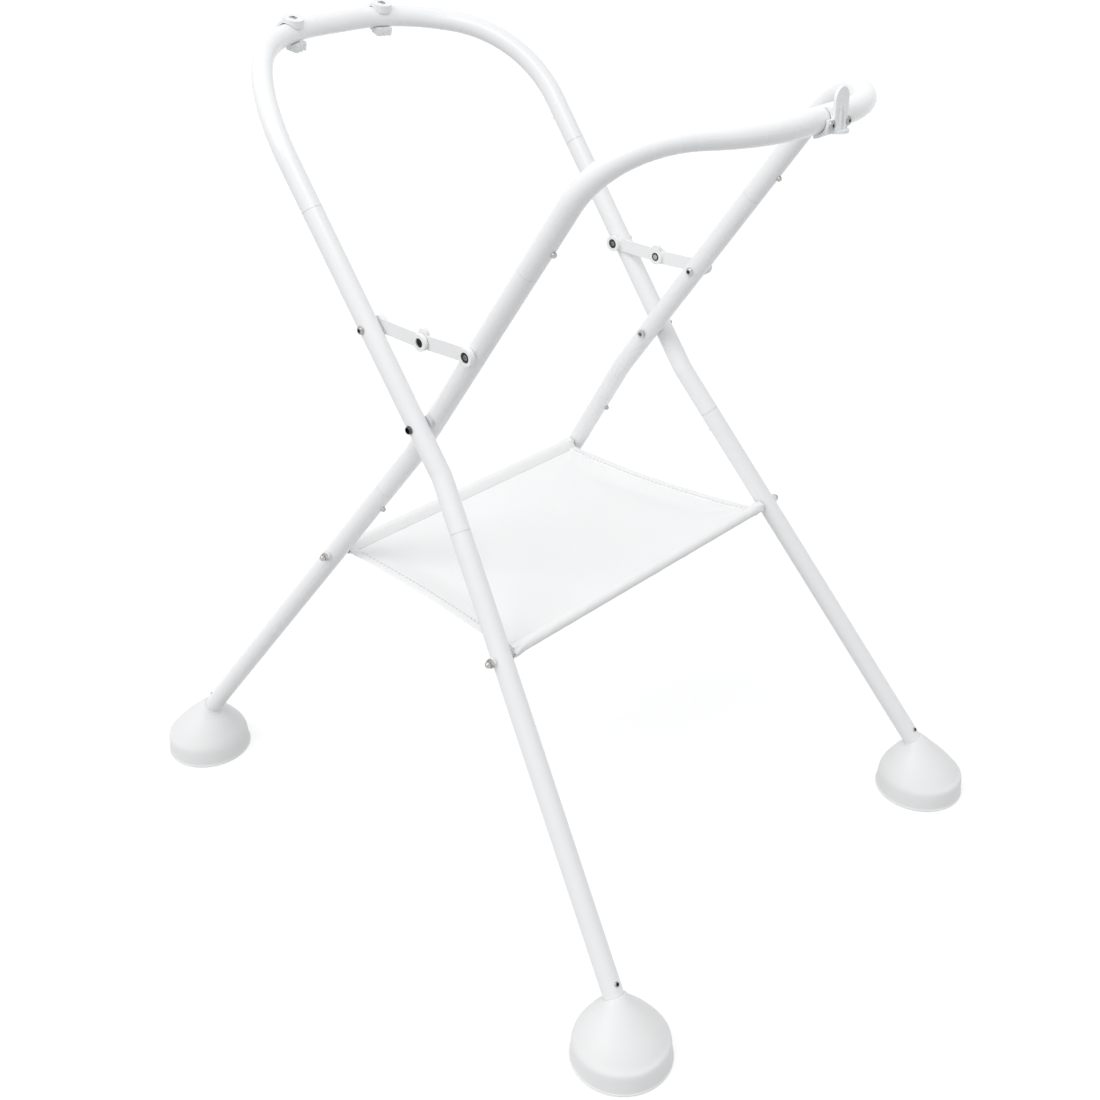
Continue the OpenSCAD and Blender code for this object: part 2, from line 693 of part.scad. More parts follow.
// Clip with a finger tab on the outside, two screw bosses and a half-round lip below
module rim_clip_inner(x) {
    tab_y = clip_bore_r + 1;
    lip_z = 1 - tube_r;
    color("white") in_frame(INNER) on_rail(INNER, x) difference() {
        union() {
            clip_saddle(clip_screw_gap + clip_boss_d);
            translate([-tab_w / 2, 0, lip_z])
                cube([tab_w, tab_y + clip_wall, tube_r - lip_z + tab_up - tab_w / 2]);
            translate([0, 0, tube_r + tab_up - tab_w / 2]) rotate([-90, 0, 0])
                cylinder(d = tab_w, h = tab_y + clip_wall);
            for (side = [-1, 1]) translate([side * rib_pitch / 2 - rib_w / 2, 0, lip_z])
                cube([rib_w, tab_y + clip_wall + rib_out, tube_r - lip_z]);
            translate([0, tab_y, lip_z]) cylinder(d = tab_w, h = clip_wall);
            at_clip_sides() cylinder(d = clip_boss_d, h = clip_r);
        }
        clip_bore();
        // The sleeve wraps only the lower outside of the rail
        for (side = [-1, 1]) translate([side * (tab_w + clip_screw_gap) / 2, 0, clip_screw_z])
            translate([-clip_screw_gap / 2, -tube_d, clip_boss_d / 2])
                cube([clip_screw_gap, 2 * tube_d, tube_d]);
        // The tab is a plate, so the space behind it over the rail is free
        translate([0, tab_y - tube_d, tube_r + tab_up])
            cube([2 * tab_w, 2 * tube_d, 2 * tab_up], center = true);
        at_clip_sides() {
            cylinder(r = screw_d / 2 + hole_clear, h = tube_d);
            translate([0, 0, clip_r]) cylinder(d = clip_boss_d, h = tube_d);
        }
    }
}

// A screw through a clip into the rail, its head on a seat at the given distance from the axis
module clip_screw(seat_r) {
    translate([0, 0, tube_r - 3]) cylinder(d = screw_d, h = seat_r + seat - tube_r + 3);
    translate([0, 0, seat_r + seat]) cylinder(d1 = 2.3 * screw_d, d2 = 1.5 * screw_d, h = 2);
}

module clip_screws(is_outer) {
    color("dimgray") in_frame(is_outer ? OUTER : INNER) at_clip_screws(is_outer)
        clip_screw(is_outer ? clip_head_r : clip_r);
}

// ---- Assembly ----

top_tube(OUTER);  // top_tube_outer
top_tube(INNER);  // top_tube_inner
on_side(false) mid_tube(OUTER);  // mid_tube_outer_left
on_side(true) mid_tube(OUTER);  // mid_tube_outer_right
on_side(false) mid_tube(INNER);  // mid_tube_inner_left
on_side(true) mid_tube(INNER);  // mid_tube_inner_right
on_side(false) leg_tube(OUTER);  // leg_tube_outer_left
on_side(true) leg_tube(OUTER);  // leg_tube_outer_right
on_side(false) leg_tube(INNER);  // leg_tube_inner_left
on_side(true) leg_tube(INNER);  // leg_tube_inner_right
on_side(false) foot(OUTER);  // foot_outer_left
on_side(true) foot(OUTER);  // foot_outer_right
on_side(false) foot(INNER);  // foot_inner_left
on_side(true) foot(INNER);  // foot_inner_right
on_both_sides() foot_screw(OUTER);  // foot_screws_outer
on_both_sides() foot_screw(INNER);  // foot_screws_inner
on_side(false) button(OUTER, true);  // button_outer_upper_left
on_side(true) button(OUTER, true);  // button_outer_upper_right
on_side(false) button(OUTER, false);  // button_outer_lower_left
on_side(true) button(OUTER, false);  // button_outer_lower_right
on_side(false) button(INNER, true);  // button_inner_upper_left
on_side(true) button(INNER, true);  // button_inner_upper_right
on_side(false) button(INNER, false);  // button_inner_lower_left
on_side(true) button(INNER, false);  // button_inner_lower_right
on_both_sides() {  // button_springs_outer
    button_spring(OUTER, true);
    button_spring(OUTER, false);
}
on_both_sides() {  // button_springs_inner
    button_spring(INNER, true);
    button_spring(INNER, false);
}
on_side(false) brace(OUTER);  // brace_outer_left
on_side(true) brace(OUTER);  // brace_outer_right
on_side(false) brace(INNER);  // brace_inner_left
on_side(true) brace(INNER);  // brace_inner_right
on_side(false) knuckle_half(OUTER, false);  // knuckle_screw_left
on_side(true) knuckle_half(OUTER, false);  // knuckle_screw_right
on_side(false) knuckle_half(INNER, true);  // knuckle_nut_left
on_side(true) knuckle_half(INNER, true);  // knuckle_nut_right
on_both_sides() brace_screw(OUTER);  // brace_screws_outer
on_both_sides() brace_screw(INNER);  // brace_screws_inner
on_both_sides() brace_nut(OUTER);  // brace_nuts_outer
on_both_sides() brace_nut(INNER);  // brace_nuts_inner
on_both_sides() pivot_bolt();  // pivot_bolts
on_both_sides() pivot_nut();  // pivot_nuts
on_both_sides() pivot_spacer();  // pivot_spacers
shelf_rod(OUTER);  // shelf_rod_outer
shelf_rod(INNER);  // shelf_rod_inner
on_both_sides() rod_washer(OUTER);  // rod_washers_outer
on_both_sides() rod_washer(INNER);  // rod_washers_inner
on_both_sides() rod_cap_nut(OUTER);  // rod_cap_nuts_outer
on_both_sides() rod_cap_nut(INNER);  // rod_cap_nuts_inner
shelf_cloth();
rim_clip_outer(clip_left_x);  // rim_clip_outer_left
rim_clip_outer(clip_right_x);  // rim_clip_outer_right
rim_clip_inner(clip_inner_x);
clip_screws(true);  // clip_screws_outer
clip_screws(false);  // clip_screws_inner
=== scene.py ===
# %% [markdown]
# # A folding baby bath stand
# Two crossed frames of white steel tube carry the bath between their top rails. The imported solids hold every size
# and every place, so this lesson never moves them. It gives each one a real surface, and models again, in finer
# detail, the pieces whose soft edges and folds the eye looks for: the bell feet, the clips, the braces, the screws
# and the shelf.

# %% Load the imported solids
import json
import math

import bmesh
import bpy
from mathutils import Matrix, Vector

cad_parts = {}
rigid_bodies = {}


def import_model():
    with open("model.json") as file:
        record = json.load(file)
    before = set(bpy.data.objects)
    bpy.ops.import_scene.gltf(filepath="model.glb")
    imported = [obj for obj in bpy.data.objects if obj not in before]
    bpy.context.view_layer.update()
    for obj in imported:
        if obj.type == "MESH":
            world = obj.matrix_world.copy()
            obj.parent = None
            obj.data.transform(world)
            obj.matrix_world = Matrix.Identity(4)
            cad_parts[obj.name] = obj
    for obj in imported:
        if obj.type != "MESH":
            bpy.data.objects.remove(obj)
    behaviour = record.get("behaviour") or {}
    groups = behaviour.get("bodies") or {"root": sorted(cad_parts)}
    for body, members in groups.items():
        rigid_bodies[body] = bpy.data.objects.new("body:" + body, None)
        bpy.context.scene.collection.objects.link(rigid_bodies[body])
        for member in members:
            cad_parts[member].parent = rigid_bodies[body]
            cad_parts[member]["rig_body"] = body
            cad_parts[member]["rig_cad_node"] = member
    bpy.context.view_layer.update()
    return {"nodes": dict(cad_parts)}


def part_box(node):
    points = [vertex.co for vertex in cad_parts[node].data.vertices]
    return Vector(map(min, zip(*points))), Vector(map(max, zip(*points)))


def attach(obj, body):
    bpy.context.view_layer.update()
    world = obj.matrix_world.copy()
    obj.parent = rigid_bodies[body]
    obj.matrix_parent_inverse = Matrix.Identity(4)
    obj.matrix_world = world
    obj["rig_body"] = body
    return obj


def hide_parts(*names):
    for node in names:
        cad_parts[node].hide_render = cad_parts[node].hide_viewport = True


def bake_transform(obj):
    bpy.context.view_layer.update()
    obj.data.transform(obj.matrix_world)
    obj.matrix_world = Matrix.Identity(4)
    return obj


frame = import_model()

MM = 0.001

# %% [markdown]
# ## The camera
# The photograph looks down on the stand from its front left. A camera in Blender looks along its own -Z, so its
# three axes are worked out from a heading, a tilt and a slight roll, and set as the columns of its matrix. The
# picture's centre lies a little off the lens's centre, and the small shift makes up for that.

# %% Place the camera
EYE = Vector((-1.1473, -1.0923, 1.2743))
HEADING, TILT, ROLL = math.radians(45.80), math.radians(-30.47), math.radians(-0.73)
LENS, SENSOR_WIDTH = 44.66, 36
CENTRE_SHIFT = (0.0102, 0.0132)

looking = Vector((math.sin(HEADING) * math.cos(TILT), math.cos(HEADING) * math.cos(TILT), math.sin(TILT)))
level_right = Vector((math.cos(HEADING), -math.sin(HEADING), 0))
level_up = level_right.cross(looking)
camera_right = level_right * math.cos(ROLL) + level_up * math.sin(ROLL)
camera_up = level_up * math.cos(ROLL) - level_right * math.sin(ROLL)

camera_data = bpy.data.cameras.new("camera")
camera_data.lens = LENS
camera_data.sensor_width = SENSOR_WIDTH
camera_data.shift_x, camera_data.shift_y = CENTRE_SHIFT
camera = bpy.data.objects.new("camera", camera_data)
camera.matrix_world = Matrix.Translation(EYE) @ Matrix((camera_right, camera_up, -looking)).transposed().to_4x4()
bpy.context.scene.collection.objects.link(camera)
bpy.context.scene.camera = camera
print("camera placed, with a lens of", LENS, "mm")

# %% [markdown]
# ## Sums in shader nodes
# Much of a studio and of a finish is arithmetic on sockets. One helper adds a Math node and hands back its output, so
# that a sum in nodes reads like a sum in code. The first sum tells which rays should find plain white paper: those
# that come from the camera straight, off something glossy or through something clear.

# %% Make the helpers for sums


def math_node(tree, operation, first, second=None, clamp=False):
    """A Math node fed by sockets or plain numbers; returns its output."""
    node = tree.nodes.new("ShaderNodeMath")
    node.operation = operation
    node.use_clamp = clamp
    for socket, value in zip(node.inputs, (first, second)):
        if isinstance(value, (int, float)):
            socket.default_value = value
        elif value is not None:
            tree.links.new(value, socket)
    return node.outputs[0]


def seen_by_camera(tree):
    """1 for a ray that ends in the picture as it is, and 0 for one that only carries light."""
    path = tree.nodes.new("ShaderNodeLightPath")
    unbent = math_node(tree, "MAXIMUM", path.outputs["Is Camera Ray"], path.outputs["Is Glossy Ray"])
    return math_node(tree, "MAXIMUM", unbent, path.outputs["Is Transmission Ray"])


# %% [markdown]
# ## The studio
# White things on white paper need soft light that comes more from one side than from the other, or they turn into
# flat paper shapes. A wide, soft sun at the upper left does that, a weak one keeps the near side readable, and the
# room is brighter from above than from the sides. A soft box hangs close over the rails, so they get more light than
# the legs. The paper round the stand is white only to the camera and in reflections, so it adds no light to it.

# %% Hang the lamps
# For each sun: where its light comes from, its strength, and how wide it looks in degrees, which softens its shadows
SUNS = {"key_sun": ((-0.68, 0.20, 0.70), 0.72, 38), "front_sun": ((-0.75, -0.55, 0.55), 0.12, 70)}
BOX_PLACE, BOX_TARGET = (-0.50, -0.30, 1.90), (0, 0.15, 0.8)
BOX_WIDTH, BOX_WATTS = 0.9, 3.4


def hang_lamp(data, place, target=(0, 0, 0)):
    """Hangs a lamp at a place and turns it to its target. A lamp shines along its own -Z."""
    lamp = bpy.data.objects.new(data.name, data)
    lamp.location = place
    lamp.rotation_euler = (Vector(place) - Vector(target)).to_track_quat("Z", "Y").to_euler()
    bpy.context.scene.collection.objects.link(lamp)


for name, (place, strength, spread) in SUNS.items():
    sun = bpy.data.lights.new(name, "SUN")
    sun.energy = strength
    sun.angle = math.radians(spread)
    hang_lamp(sun, place)
box = bpy.data.lights.new("soft_box", "AREA")
box.shape, box.size, box.energy = "DISK", BOX_WIDTH, BOX_WATTS
hang_lamp(box, BOX_PLACE, BOX_TARGET)
print("lamps hung:", *bpy.data.lights.keys())

# %% Light the room
SIDE_LIGHT, TOP_LIGHT = 0.70, 0.82
ROOM_TINT = (0.985, 0.993, 1.0, 1)
WHITE = (1, 1, 1, 1)

world = bpy.data.worlds.new("studio")
bpy.context.scene.world = world
world.use_nodes = True
tree = world.node_tree
tree.nodes.clear()
sky_side = tree.nodes.new("ShaderNodeSeparateXYZ")
tree.links.new(tree.nodes.new("ShaderNodeTexCoord").outputs["Generated"], sky_side.inputs[0])
from_above = tree.nodes.new("ShaderNodeMapRange")
from_above.inputs["To Min"].default_value, from_above.inputs["To Max"].default_value = SIDE_LIGHT, TOP_LIGHT
tree.links.new(sky_side.outputs["Z"], from_above.inputs["Value"])
room_light, paper_white = tree.nodes.new("ShaderNodeBackground"), tree.nodes.new("ShaderNodeBackground")
room_light.inputs["Color"].default_value = ROOM_TINT
tree.links.new(from_above.outputs["Result"], room_light.inputs["Strength"])
paper_white.inputs["Color"].default_value = WHITE
choose = tree.nodes.new("ShaderNodeMixShader")
tree.links.new(seen_by_camera(tree), choose.inputs["Fac"])
tree.links.new(room_light.outputs[0], choose.inputs[1])
tree.links.new(paper_white.outputs[0], choose.inputs[2])
tree.links.new(choose.outputs[0], tree.nodes.new("ShaderNodeOutputWorld").inputs["Surface"])
bpy.context.scene.view_settings.view_transform = "Standard"
print("room lit")

# %% [markdown]
# ## The floor
# A plain sheet of white paper. It is a real diffuse surface, so it takes the soft shadows of the feet, and it gets
# just enough extra white towards the camera that the paper round the shadows melts into the background.

# %% Lay the floor
FLOOR_SIZE, FLOOR_DROP = 24, 0.5 * MM
PAPER_GREY, PAPER_LIFT = 0.50, 0.60

bpy.ops.object.select_all(action="DESELECT")
bpy.ops.mesh.primitive_plane_add(size=FLOOR_SIZE, location=(0, 0, -FLOOR_DROP))
floor = bpy.context.object
floor.name = "floor"
bpy.ops.object.transform_apply(location=True, rotation=True, scale=True)
paper = bpy.data.materials.new("floor_paper")
paper.use_nodes = True
tree = paper.node_tree
shader = tree.nodes["Principled BSDF"]
shader.inputs["Base Color"].default_value = (PAPER_GREY, PAPER_GREY, PAPER_GREY, 1)
shader.inputs["Roughness"].default_value = 0.9
shader.inputs["Specular IOR Level"].default_value = 0.0
shader.inputs["Emission Color"].default_value = WHITE
lift = math_node(tree, "MULTIPLY", seen_by_camera(tree), PAPER_LIFT)
tree.links.new(lift, shader.inputs["Emission Strength"])
floor.data.materials.append(paper)
print("floor laid")

# %% [markdown]
# ## Effects that several finishes share
# Powder coat, moulded plastic and plated steel look different, yet each has the same three things: a fine
# unevenness, edges that are rubbed a little, and dust that settles on what faces up. Each is a node group that is
# built once. A group gives out only heights and masks, and the shader itself stays in each material.

# %% Make the helpers for node groups
NOISE_ROUGHNESS = 0.55


def make_group(name, inputs, outputs):
    """An empty shader group with named sockets, and its two end nodes."""
    group = bpy.data.node_groups.new(name, "ShaderNodeTree")
    for socket_name, value in inputs:
        socket = group.interface.new_socket(socket_name, in_out="INPUT", socket_type="NodeSocketFloat")
        socket.default_value = value
    for socket_name in outputs:
        group.interface.new_socket(socket_name, in_out="OUTPUT", socket_type="NodeSocketFloat")
    return group, group.nodes.new("NodeGroupInput"), group.nodes.new("NodeGroupOutput")


def noise(tree, scale, detail):
    """A noise texture on the object's own coordinates; scale is a number or a socket, in waves per metre."""
    coordinates = tree.nodes.new("ShaderNodeTexCoord")
    texture = tree.nodes.new("ShaderNodeTexNoise")
    tree.links.new(coordinates.outputs["Object"], texture.inputs["Vector"])
    texture.inputs["Detail"].default_value = detail
    texture.inputs["Roughness"].default_value = NOISE_ROUGHNESS
    if isinstance(scale, (int, float)):
        texture.inputs["Scale"].default_value = scale
    else:
        tree.links.new(scale, texture.inputs["Scale"])
    return texture.outputs["Fac"]


# %% Build the shared node groups
EDGE_START, EDGE_GAIN = 0.515, 9.0
EDGE_BREAKS, BREAK_GAIN = 260.0, 1.6
DUST_CLUMPS, DUST_LEVELLING = 90.0, 3.0

unevenness, group_in, group_out = make_group(
    "fine_unevenness", [("Waves per metre", 400.0), ("Patches per metre", 14.0)], ["Height", "Patches"])
ripple = noise(unevenness, group_in.outputs["Waves per metre"], 2.0)
broad = noise(unevenness, group_in.outputs["Patches per metre"], 3.0)
unevenness.links.new(ripple, group_out.inputs["Height"])
unevenness.links.new(broad, group_out.inputs["Patches"])

rubbed_edges, group_in, group_out = make_group("rubbed_edges", [("Amount", 0.5)], ["Mask"])
geometry = rubbed_edges.nodes.new("ShaderNodeNewGeometry")
sharp = math_node(rubbed_edges, "SUBTRACT", geometry.outputs["Pointiness"], EDGE_START)
sharp = math_node(rubbed_edges, "MULTIPLY", sharp, EDGE_GAIN, clamp=True)
broken = math_node(rubbed_edges, "MULTIPLY", noise(rubbed_edges, EDGE_BREAKS, 4.0), BREAK_GAIN, clamp=True)
worn = math_node(rubbed_edges, "MULTIPLY", sharp, broken)
worn = math_node(rubbed_edges, "MULTIPLY", worn, group_in.outputs["Amount"], clamp=True)
rubbed_edges.links.new(worn, group_out.inputs["Mask"])

settled_dust, group_in, group_out = make_group("settled_dust", [("Amount", 0.5)], ["Mask"])
geometry = settled_dust.nodes.new("ShaderNodeNewGeometry")
split = settled_dust.nodes.new("ShaderNodeSeparateXYZ")
settled_dust.links.new(geometry.outputs["Normal"], split.inputs[0])
facing_up = math_node(settled_dust, "MAXIMUM", split.outputs["Z"], 0.0)
facing_up = math_node(settled_dust, "POWER", facing_up, DUST_LEVELLING)
thick = math_node(settled_dust, "MULTIPLY", noise(settled_dust, DUST_CLUMPS, 5.0), facing_up)
thick = math_node(settled_dust, "MULTIPLY", thick, group_in.outputs["Amount"], clamp=True)
settled_dust.links.new(thick, group_out.inputs["Mask"])
print("node groups:", *bpy.data.node_groups.keys())

# %% [markdown]
# ## The hard finishes
# Eight of the stand's finishes are hard: powder coat, four moulded plastics and three metals. They differ in numbers
# and not in how they are built, so one function makes them all. A mesh can carry painted shade at its points: the
# finish turns near black there, for the shade deep in sockets and pockets. The powder coat has the slow ripple that
# is called orange peel, and a clear coat over it gives the narrow highlight that runs along each tube.

# %% Make the helper for hard finishes
FINISHES = {}
PATCHES_PER_METRE = 12.0
# The dust is real. The near-black colour is painted shade, laid where a mesh marks deep sockets and pockets
DUST_COLOUR, PAINTED_SHADE_COLOUR = (0.74, 0.73, 0.71), (0.012, 0.012, 0.013)
PATCH_ROUGH, WORN_ROUGH, DUST_ROUGH = 0.12, 0.25, 0.3
GLOW_REACH = 4 * MM


def shade_between(tree, fac, low, high):
    """A colour that goes from low to high with fac."""
    mix = tree.nodes.new("ShaderNodeMix")
    mix.data_type = "RGBA"
    tree.links.new(fac, mix.inputs["Factor"])
    for socket, value in ((mix.inputs[6], low), (mix.inputs[7], high)):
        if isinstance(value, tuple):
            socket.default_value = (*value, 1)
        else:
            tree.links.new(value, socket)
    return mix.outputs[2]


def use_group(tree, group, **values):
    """Places a shared group in a material, with its own values."""
    node = tree.nodes.new("ShaderNodeGroup")
    node.node_tree = group
    for name, value in values.items():
        node.inputs[name.replace("_", " ")].default_value = value
    return node


def add_bump(tree, height, strength, distance):
    """Turns a height into the relief of a material."""
    bump = tree.nodes.new("ShaderNodeBump")
    bump.inputs["Strength"].default_value = strength
    bump.inputs["Distance"].default_value = distance
    tree.links.new(height, bump.inputs["Height"])
    tree.links.new(bump.outputs["Normal"], tree.nodes["Principled BSDF"].inputs["Normal"])


def hard_finish(name, colour, shaded, worn_colour, roughness, ripple, wear, dust, metallic=0.0, coat=0.0,
                softness=0.0):
    """A hard surface. ripple is (waves per metre, strength, height in mm); shaded is the colour of its patches."""
    material = bpy.data.materials.new(name)
    material.use_nodes = True
    tree = material.node_tree
    shader = tree.nodes["Principled BSDF"]
    uneven = use_group(tree, unevenness, Waves_per_metre=ripple[0], Patches_per_metre=PATCHES_PER_METRE)
    worn = use_group(tree, rubbed_edges, Amount=wear)
    dusty = use_group(tree, settled_dust, Amount=dust)
    # A value at the mesh's points paints shade: the colour goes to near black where little light would reach
    painted_shade = tree.nodes.new("ShaderNodeAttribute")
    painted_shade.attribute_name = "painted_shade"
    body = shade_between(tree, uneven.outputs["Patches"], shaded, colour)
    body = shade_between(tree, worn.outputs["Mask"], body, worn_colour)
    body = shade_between(tree, dusty.outputs["Mask"], body, DUST_COLOUR)
    body = shade_between(tree, painted_shade.outputs["Fac"], body, PAINTED_SHADE_COLOUR)
    tree.links.new(body, shader.inputs["Base Color"])
    rough = math_node(tree, "MULTIPLY", uneven.outputs["Patches"], PATCH_ROUGH)
    rough = math_node(tree, "ADD", rough, roughness - PATCH_ROUGH / 2)
    for mask, share in ((worn.outputs["Mask"], WORN_ROUGH), (dusty.outputs["Mask"], DUST_ROUGH)):
        rough = math_node(tree, "ADD", rough, math_node(tree, "MULTIPLY", mask, share), clamp=True)
    tree.links.new(rough, shader.inputs["Roughness"])
    add_bump(tree, uneven.outputs["Height"], ripple[1], ripple[2] * MM)
    # Where shade is painted, the metal and its specular shine are taken away as well
    bare = math_node(tree, "SUBTRACT", 1.0, painted_shade.outputs["Fac"], clamp=True)
    tree.links.new(math_node(tree, "MULTIPLY", bare, metallic), shader.inputs["Metallic"])
    tree.links.new(math_node(tree, "MULTIPLY", bare, 0.5), shader.inputs["Specular IOR Level"])
    shader.inputs["Coat Weight"].default_value = coat
    shader.inputs["Coat Roughness"].default_value = 0.09
    shader.inputs["Subsurface Weight"].default_value = softness
    shader.inputs["Subsurface Radius"].default_value = (GLOW_REACH, GLOW_REACH, GLOW_REACH)
    FINISHES[name] = material


# %% Make the hard finishes
hard_finish("frame_paint", (0.885, 0.890, 0.897), (0.865, 0.872, 0.882), (0.80, 0.80, 0.80), 0.27,
            ripple=(520.0, 0.30, 0.10), coat=0.55, wear=0.25, dust=0.10)
hard_finish("brace_white", (0.885, 0.888, 0.890), (0.865, 0.868, 0.872), (0.93, 0.93, 0.93), 0.38,
            ripple=(900.0, 0.25, 0.08), wear=0.6, dust=0.12, softness=0.05)
hard_finish("foot_plastic", (0.868, 0.868, 0.870), (0.846, 0.847, 0.850), (0.80, 0.80, 0.79), 0.46,
            ripple=(1500.0, 0.30, 0.06), wear=0.35, dust=0.12, softness=0.08)
hard_finish("clip_plastic", (0.850, 0.860, 0.870), (0.825, 0.836, 0.848), (0.93, 0.94, 0.95), 0.24,
            ripple=(700.0, 0.20, 0.06), coat=0.25, wear=0.5, dust=0.08, softness=0.05)
hard_finish("bright_steel", (0.50, 0.49, 0.47), (0.36, 0.355, 0.345), (0.78, 0.77, 0.75), 0.14,
            ripple=(2600.0, 0.25, 0.03), metallic=1.0, wear=0.7, dust=0.05)
hard_finish("dark_steel", (0.36, 0.36, 0.36), (0.22, 0.22, 0.22), (0.74, 0.74, 0.74), 0.18,
            ripple=(2200.0, 0.35, 0.03), metallic=1.0, wear=0.8, dust=0.08)
hard_finish("spring_steel", (0.46, 0.47, 0.50), (0.36, 0.37, 0.40), (0.70, 0.70, 0.71), 0.30,
            ripple=(2400.0, 0.35, 0.03), metallic=1.0, wear=0.5, dust=0.05)
hard_finish("spacer_plastic", (0.66, 0.67, 0.69), (0.58, 0.59, 0.61), (0.80, 0.80, 0.81), 0.48,
            ripple=(1200.0, 0.30, 0.05), wear=0.5, dust=0.2)
print("hard finishes:", *sorted(FINISHES))

# %% [markdown]
# ## The cloth
# The shelf is plain-woven polyester: each thread goes over one and under the next. The cloth's own map runs in
# metres along the warp and the weft, so two sine waves make the threads, and their product lifts every other
# crossing. Seen from a step away it only takes the shine off the white, as the real one does.

# %% Make the cloth finish
THREAD_PITCH = 0.55 * MM
CROSSING_SHARE, THREAD_SHARE, GAP_BELOW = 0.5, 0.35, 0.45
GAP_TINT, LINT_TINT = 0.35, 0.25
CLOTH_ROUGH, CLOTH_SPREAD, SLUB_SHARE = 0.72, 0.15, 0.6

plain_weave, group_in, group_out = make_group("plain_weave", [("Threads per metre", 1 / THREAD_PITCH)],
                                              ["Height", "Gaps"])
cloth_map = plain_weave.nodes.new("ShaderNodeUVMap")
cloth_map.uv_map = "weave"
split = plain_weave.nodes.new("ShaderNodeSeparateXYZ")
plain_weave.links.new(cloth_map.outputs["UV"], split.inputs[0])
waves = []
for axis in ("X", "Y"):
    turns = math_node(plain_weave, "MULTIPLY", split.outputs[axis], group_in.outputs["Threads per metre"])
    waves.append(math_node(plain_weave, "SINE", math_node(plain_weave, "MULTIPLY", turns, math.pi)))
crossing = math_node(plain_weave, "MULTIPLY", waves[0], waves[1])
threads = math_node(plain_weave, "ADD", math_node(plain_weave, "ABSOLUTE", waves[0]),
                    math_node(plain_weave, "ABSOLUTE", waves[1]))
height = math_node(plain_weave, "ADD", math_node(plain_weave, "MULTIPLY", crossing, CROSSING_SHARE),
                   math_node(plain_weave, "MULTIPLY", threads, THREAD_SHARE))
plain_weave.links.new(height, group_out.inputs["Height"])
plain_weave.links.new(math_node(plain_weave, "LESS_THAN", threads, GAP_BELOW), group_out.inputs["Gaps"])


def cloth_finish(name, colour, gap_colour, weave_height):
    """Woven cloth: threads from the weave group, slubs and lint from noise, and a soft sheen."""
    material = bpy.data.materials.new(name)
    material.use_nodes = True
    tree = material.node_tree
    shader = tree.nodes["Principled BSDF"]
    weave = use_group(tree, plain_weave, Threads_per_metre=1 / THREAD_PITCH)
    uneven = use_group(tree, unevenness, Waves_per_metre=120.0, Patches_per_metre=30.0)
    body = shade_between(tree, math_node(tree, "MULTIPLY", weave.outputs["Gaps"], GAP_TINT), colour, gap_colour)
    lint = math_node(tree, "MULTIPLY", uneven.outputs["Patches"], LINT_TINT)
    tree.links.new(shade_between(tree, lint, body, gap_colour), shader.inputs["Base Color"])
    rough = math_node(tree, "MULTIPLY", uneven.outputs["Patches"], CLOTH_SPREAD)
    tree.links.new(math_node(tree, "ADD", rough, CLOTH_ROUGH), shader.inputs["Roughness"])
    slubs = math_node(tree, "MULTIPLY", uneven.outputs["Height"], SLUB_SHARE)
    add_bump(tree, math_node(tree, "ADD", weave.outputs["Height"], slubs), 0.45, weave_height)
    shader.inputs["Sheen Weight"].default_value = 0.25
    shader.inputs["Sheen Roughness"].default_value = 0.5
    shader.inputs["Specular IOR Level"].default_value = 0.25
    FINISHES[name] = material


cloth_finish("shelf_fabric", (0.935, 0.935, 0.935), (0.86, 0.86, 0.865), 0.12 * MM)
# The thread is grey, far darker than the cloth: partly its own colour, partly painted shade that draws the shaded
# line along each seam
cloth_finish("thread", (0.46, 0.46, 0.465), (0.38, 0.38, 0.385), 0.05 * MM)
print("cloth finishes made")

# %% [markdown]
# ## Dress the solids
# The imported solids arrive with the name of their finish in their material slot. Each slot is given the finish that
# was built under the same name, so every tube, screw, nut, button and rod is dressed in one short loop.

# %% Give each solid its finish
for node in frame["nodes"].values():
    for slot in node.material_slots:
        slot.material = FINISHES[slot.material.name.split(".")[0]]
print("solids dressed:", len(frame["nodes"]))

# %% [markdown]
# ## Helpers for modelling by hand
# Blender's edit tools act on everything that is selected, so each step starts from an empty selection. Faces and
# edges are picked in code by where they are. A finished piece leaves its place in its mesh, so that its object sits
# at the origin as the solids do.

# %% Make the modelling helpers
SOFT_ANGLE, SCREW_ANGLE, MOULDED_ANGLE = 60, 40, 30


def deselect():
    """Leaves edit mode and selects nothing."""
    if bpy.context.object and bpy.context.object.mode != "OBJECT":
        bpy.ops.object.mode_set(mode="OBJECT")
    bpy.ops.object.select_all(action="DESELECT")


def work_on(piece, mode="EDIT"):
    """Makes one piece the only selected and active one."""
    deselect()
    piece.select_set(True)
    bpy.context.view_layer.objects.active = piece
    if mode == "EDIT":
        bpy.ops.object.mode_set(mode="EDIT")


def finish_mesh(piece, smooth_angle):
    """Applies what is left, and shades the piece smooth up to an angle in degrees."""
    work_on(piece, "OBJECT")
    for modifier in list(piece.modifiers):
        bpy.ops.object.modifier_apply(modifier=modifier.name)
    bpy.ops.object.transform_apply(location=True, rotation=True, scale=True)
    bpy.ops.object.shade_smooth_by_angle(angle=math.radians(smooth_angle))
    return piece


def dress(piece, slot_name, body, *stands_for):
    """Gives a new piece its finish and its body, and hides the solids that it stands for."""
    piece.data.materials.clear()
    piece.data.materials.append(FINISHES[slot_name])
    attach(piece, body)
    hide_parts(*stands_for)


def placed_copy(piece, name, matrix):
    """A copy with a mesh of its own, carried to its place. A mirrored copy has its faces turned back outwards."""
    copy = piece.copy()
    copy.data = piece.data.copy()
    copy.name = name
    copy.data.transform(matrix)
    if matrix.determinant() < 0:
        copy.data.flip_normals()
    bpy.context.scene.collection.objects.link(copy)
    return copy


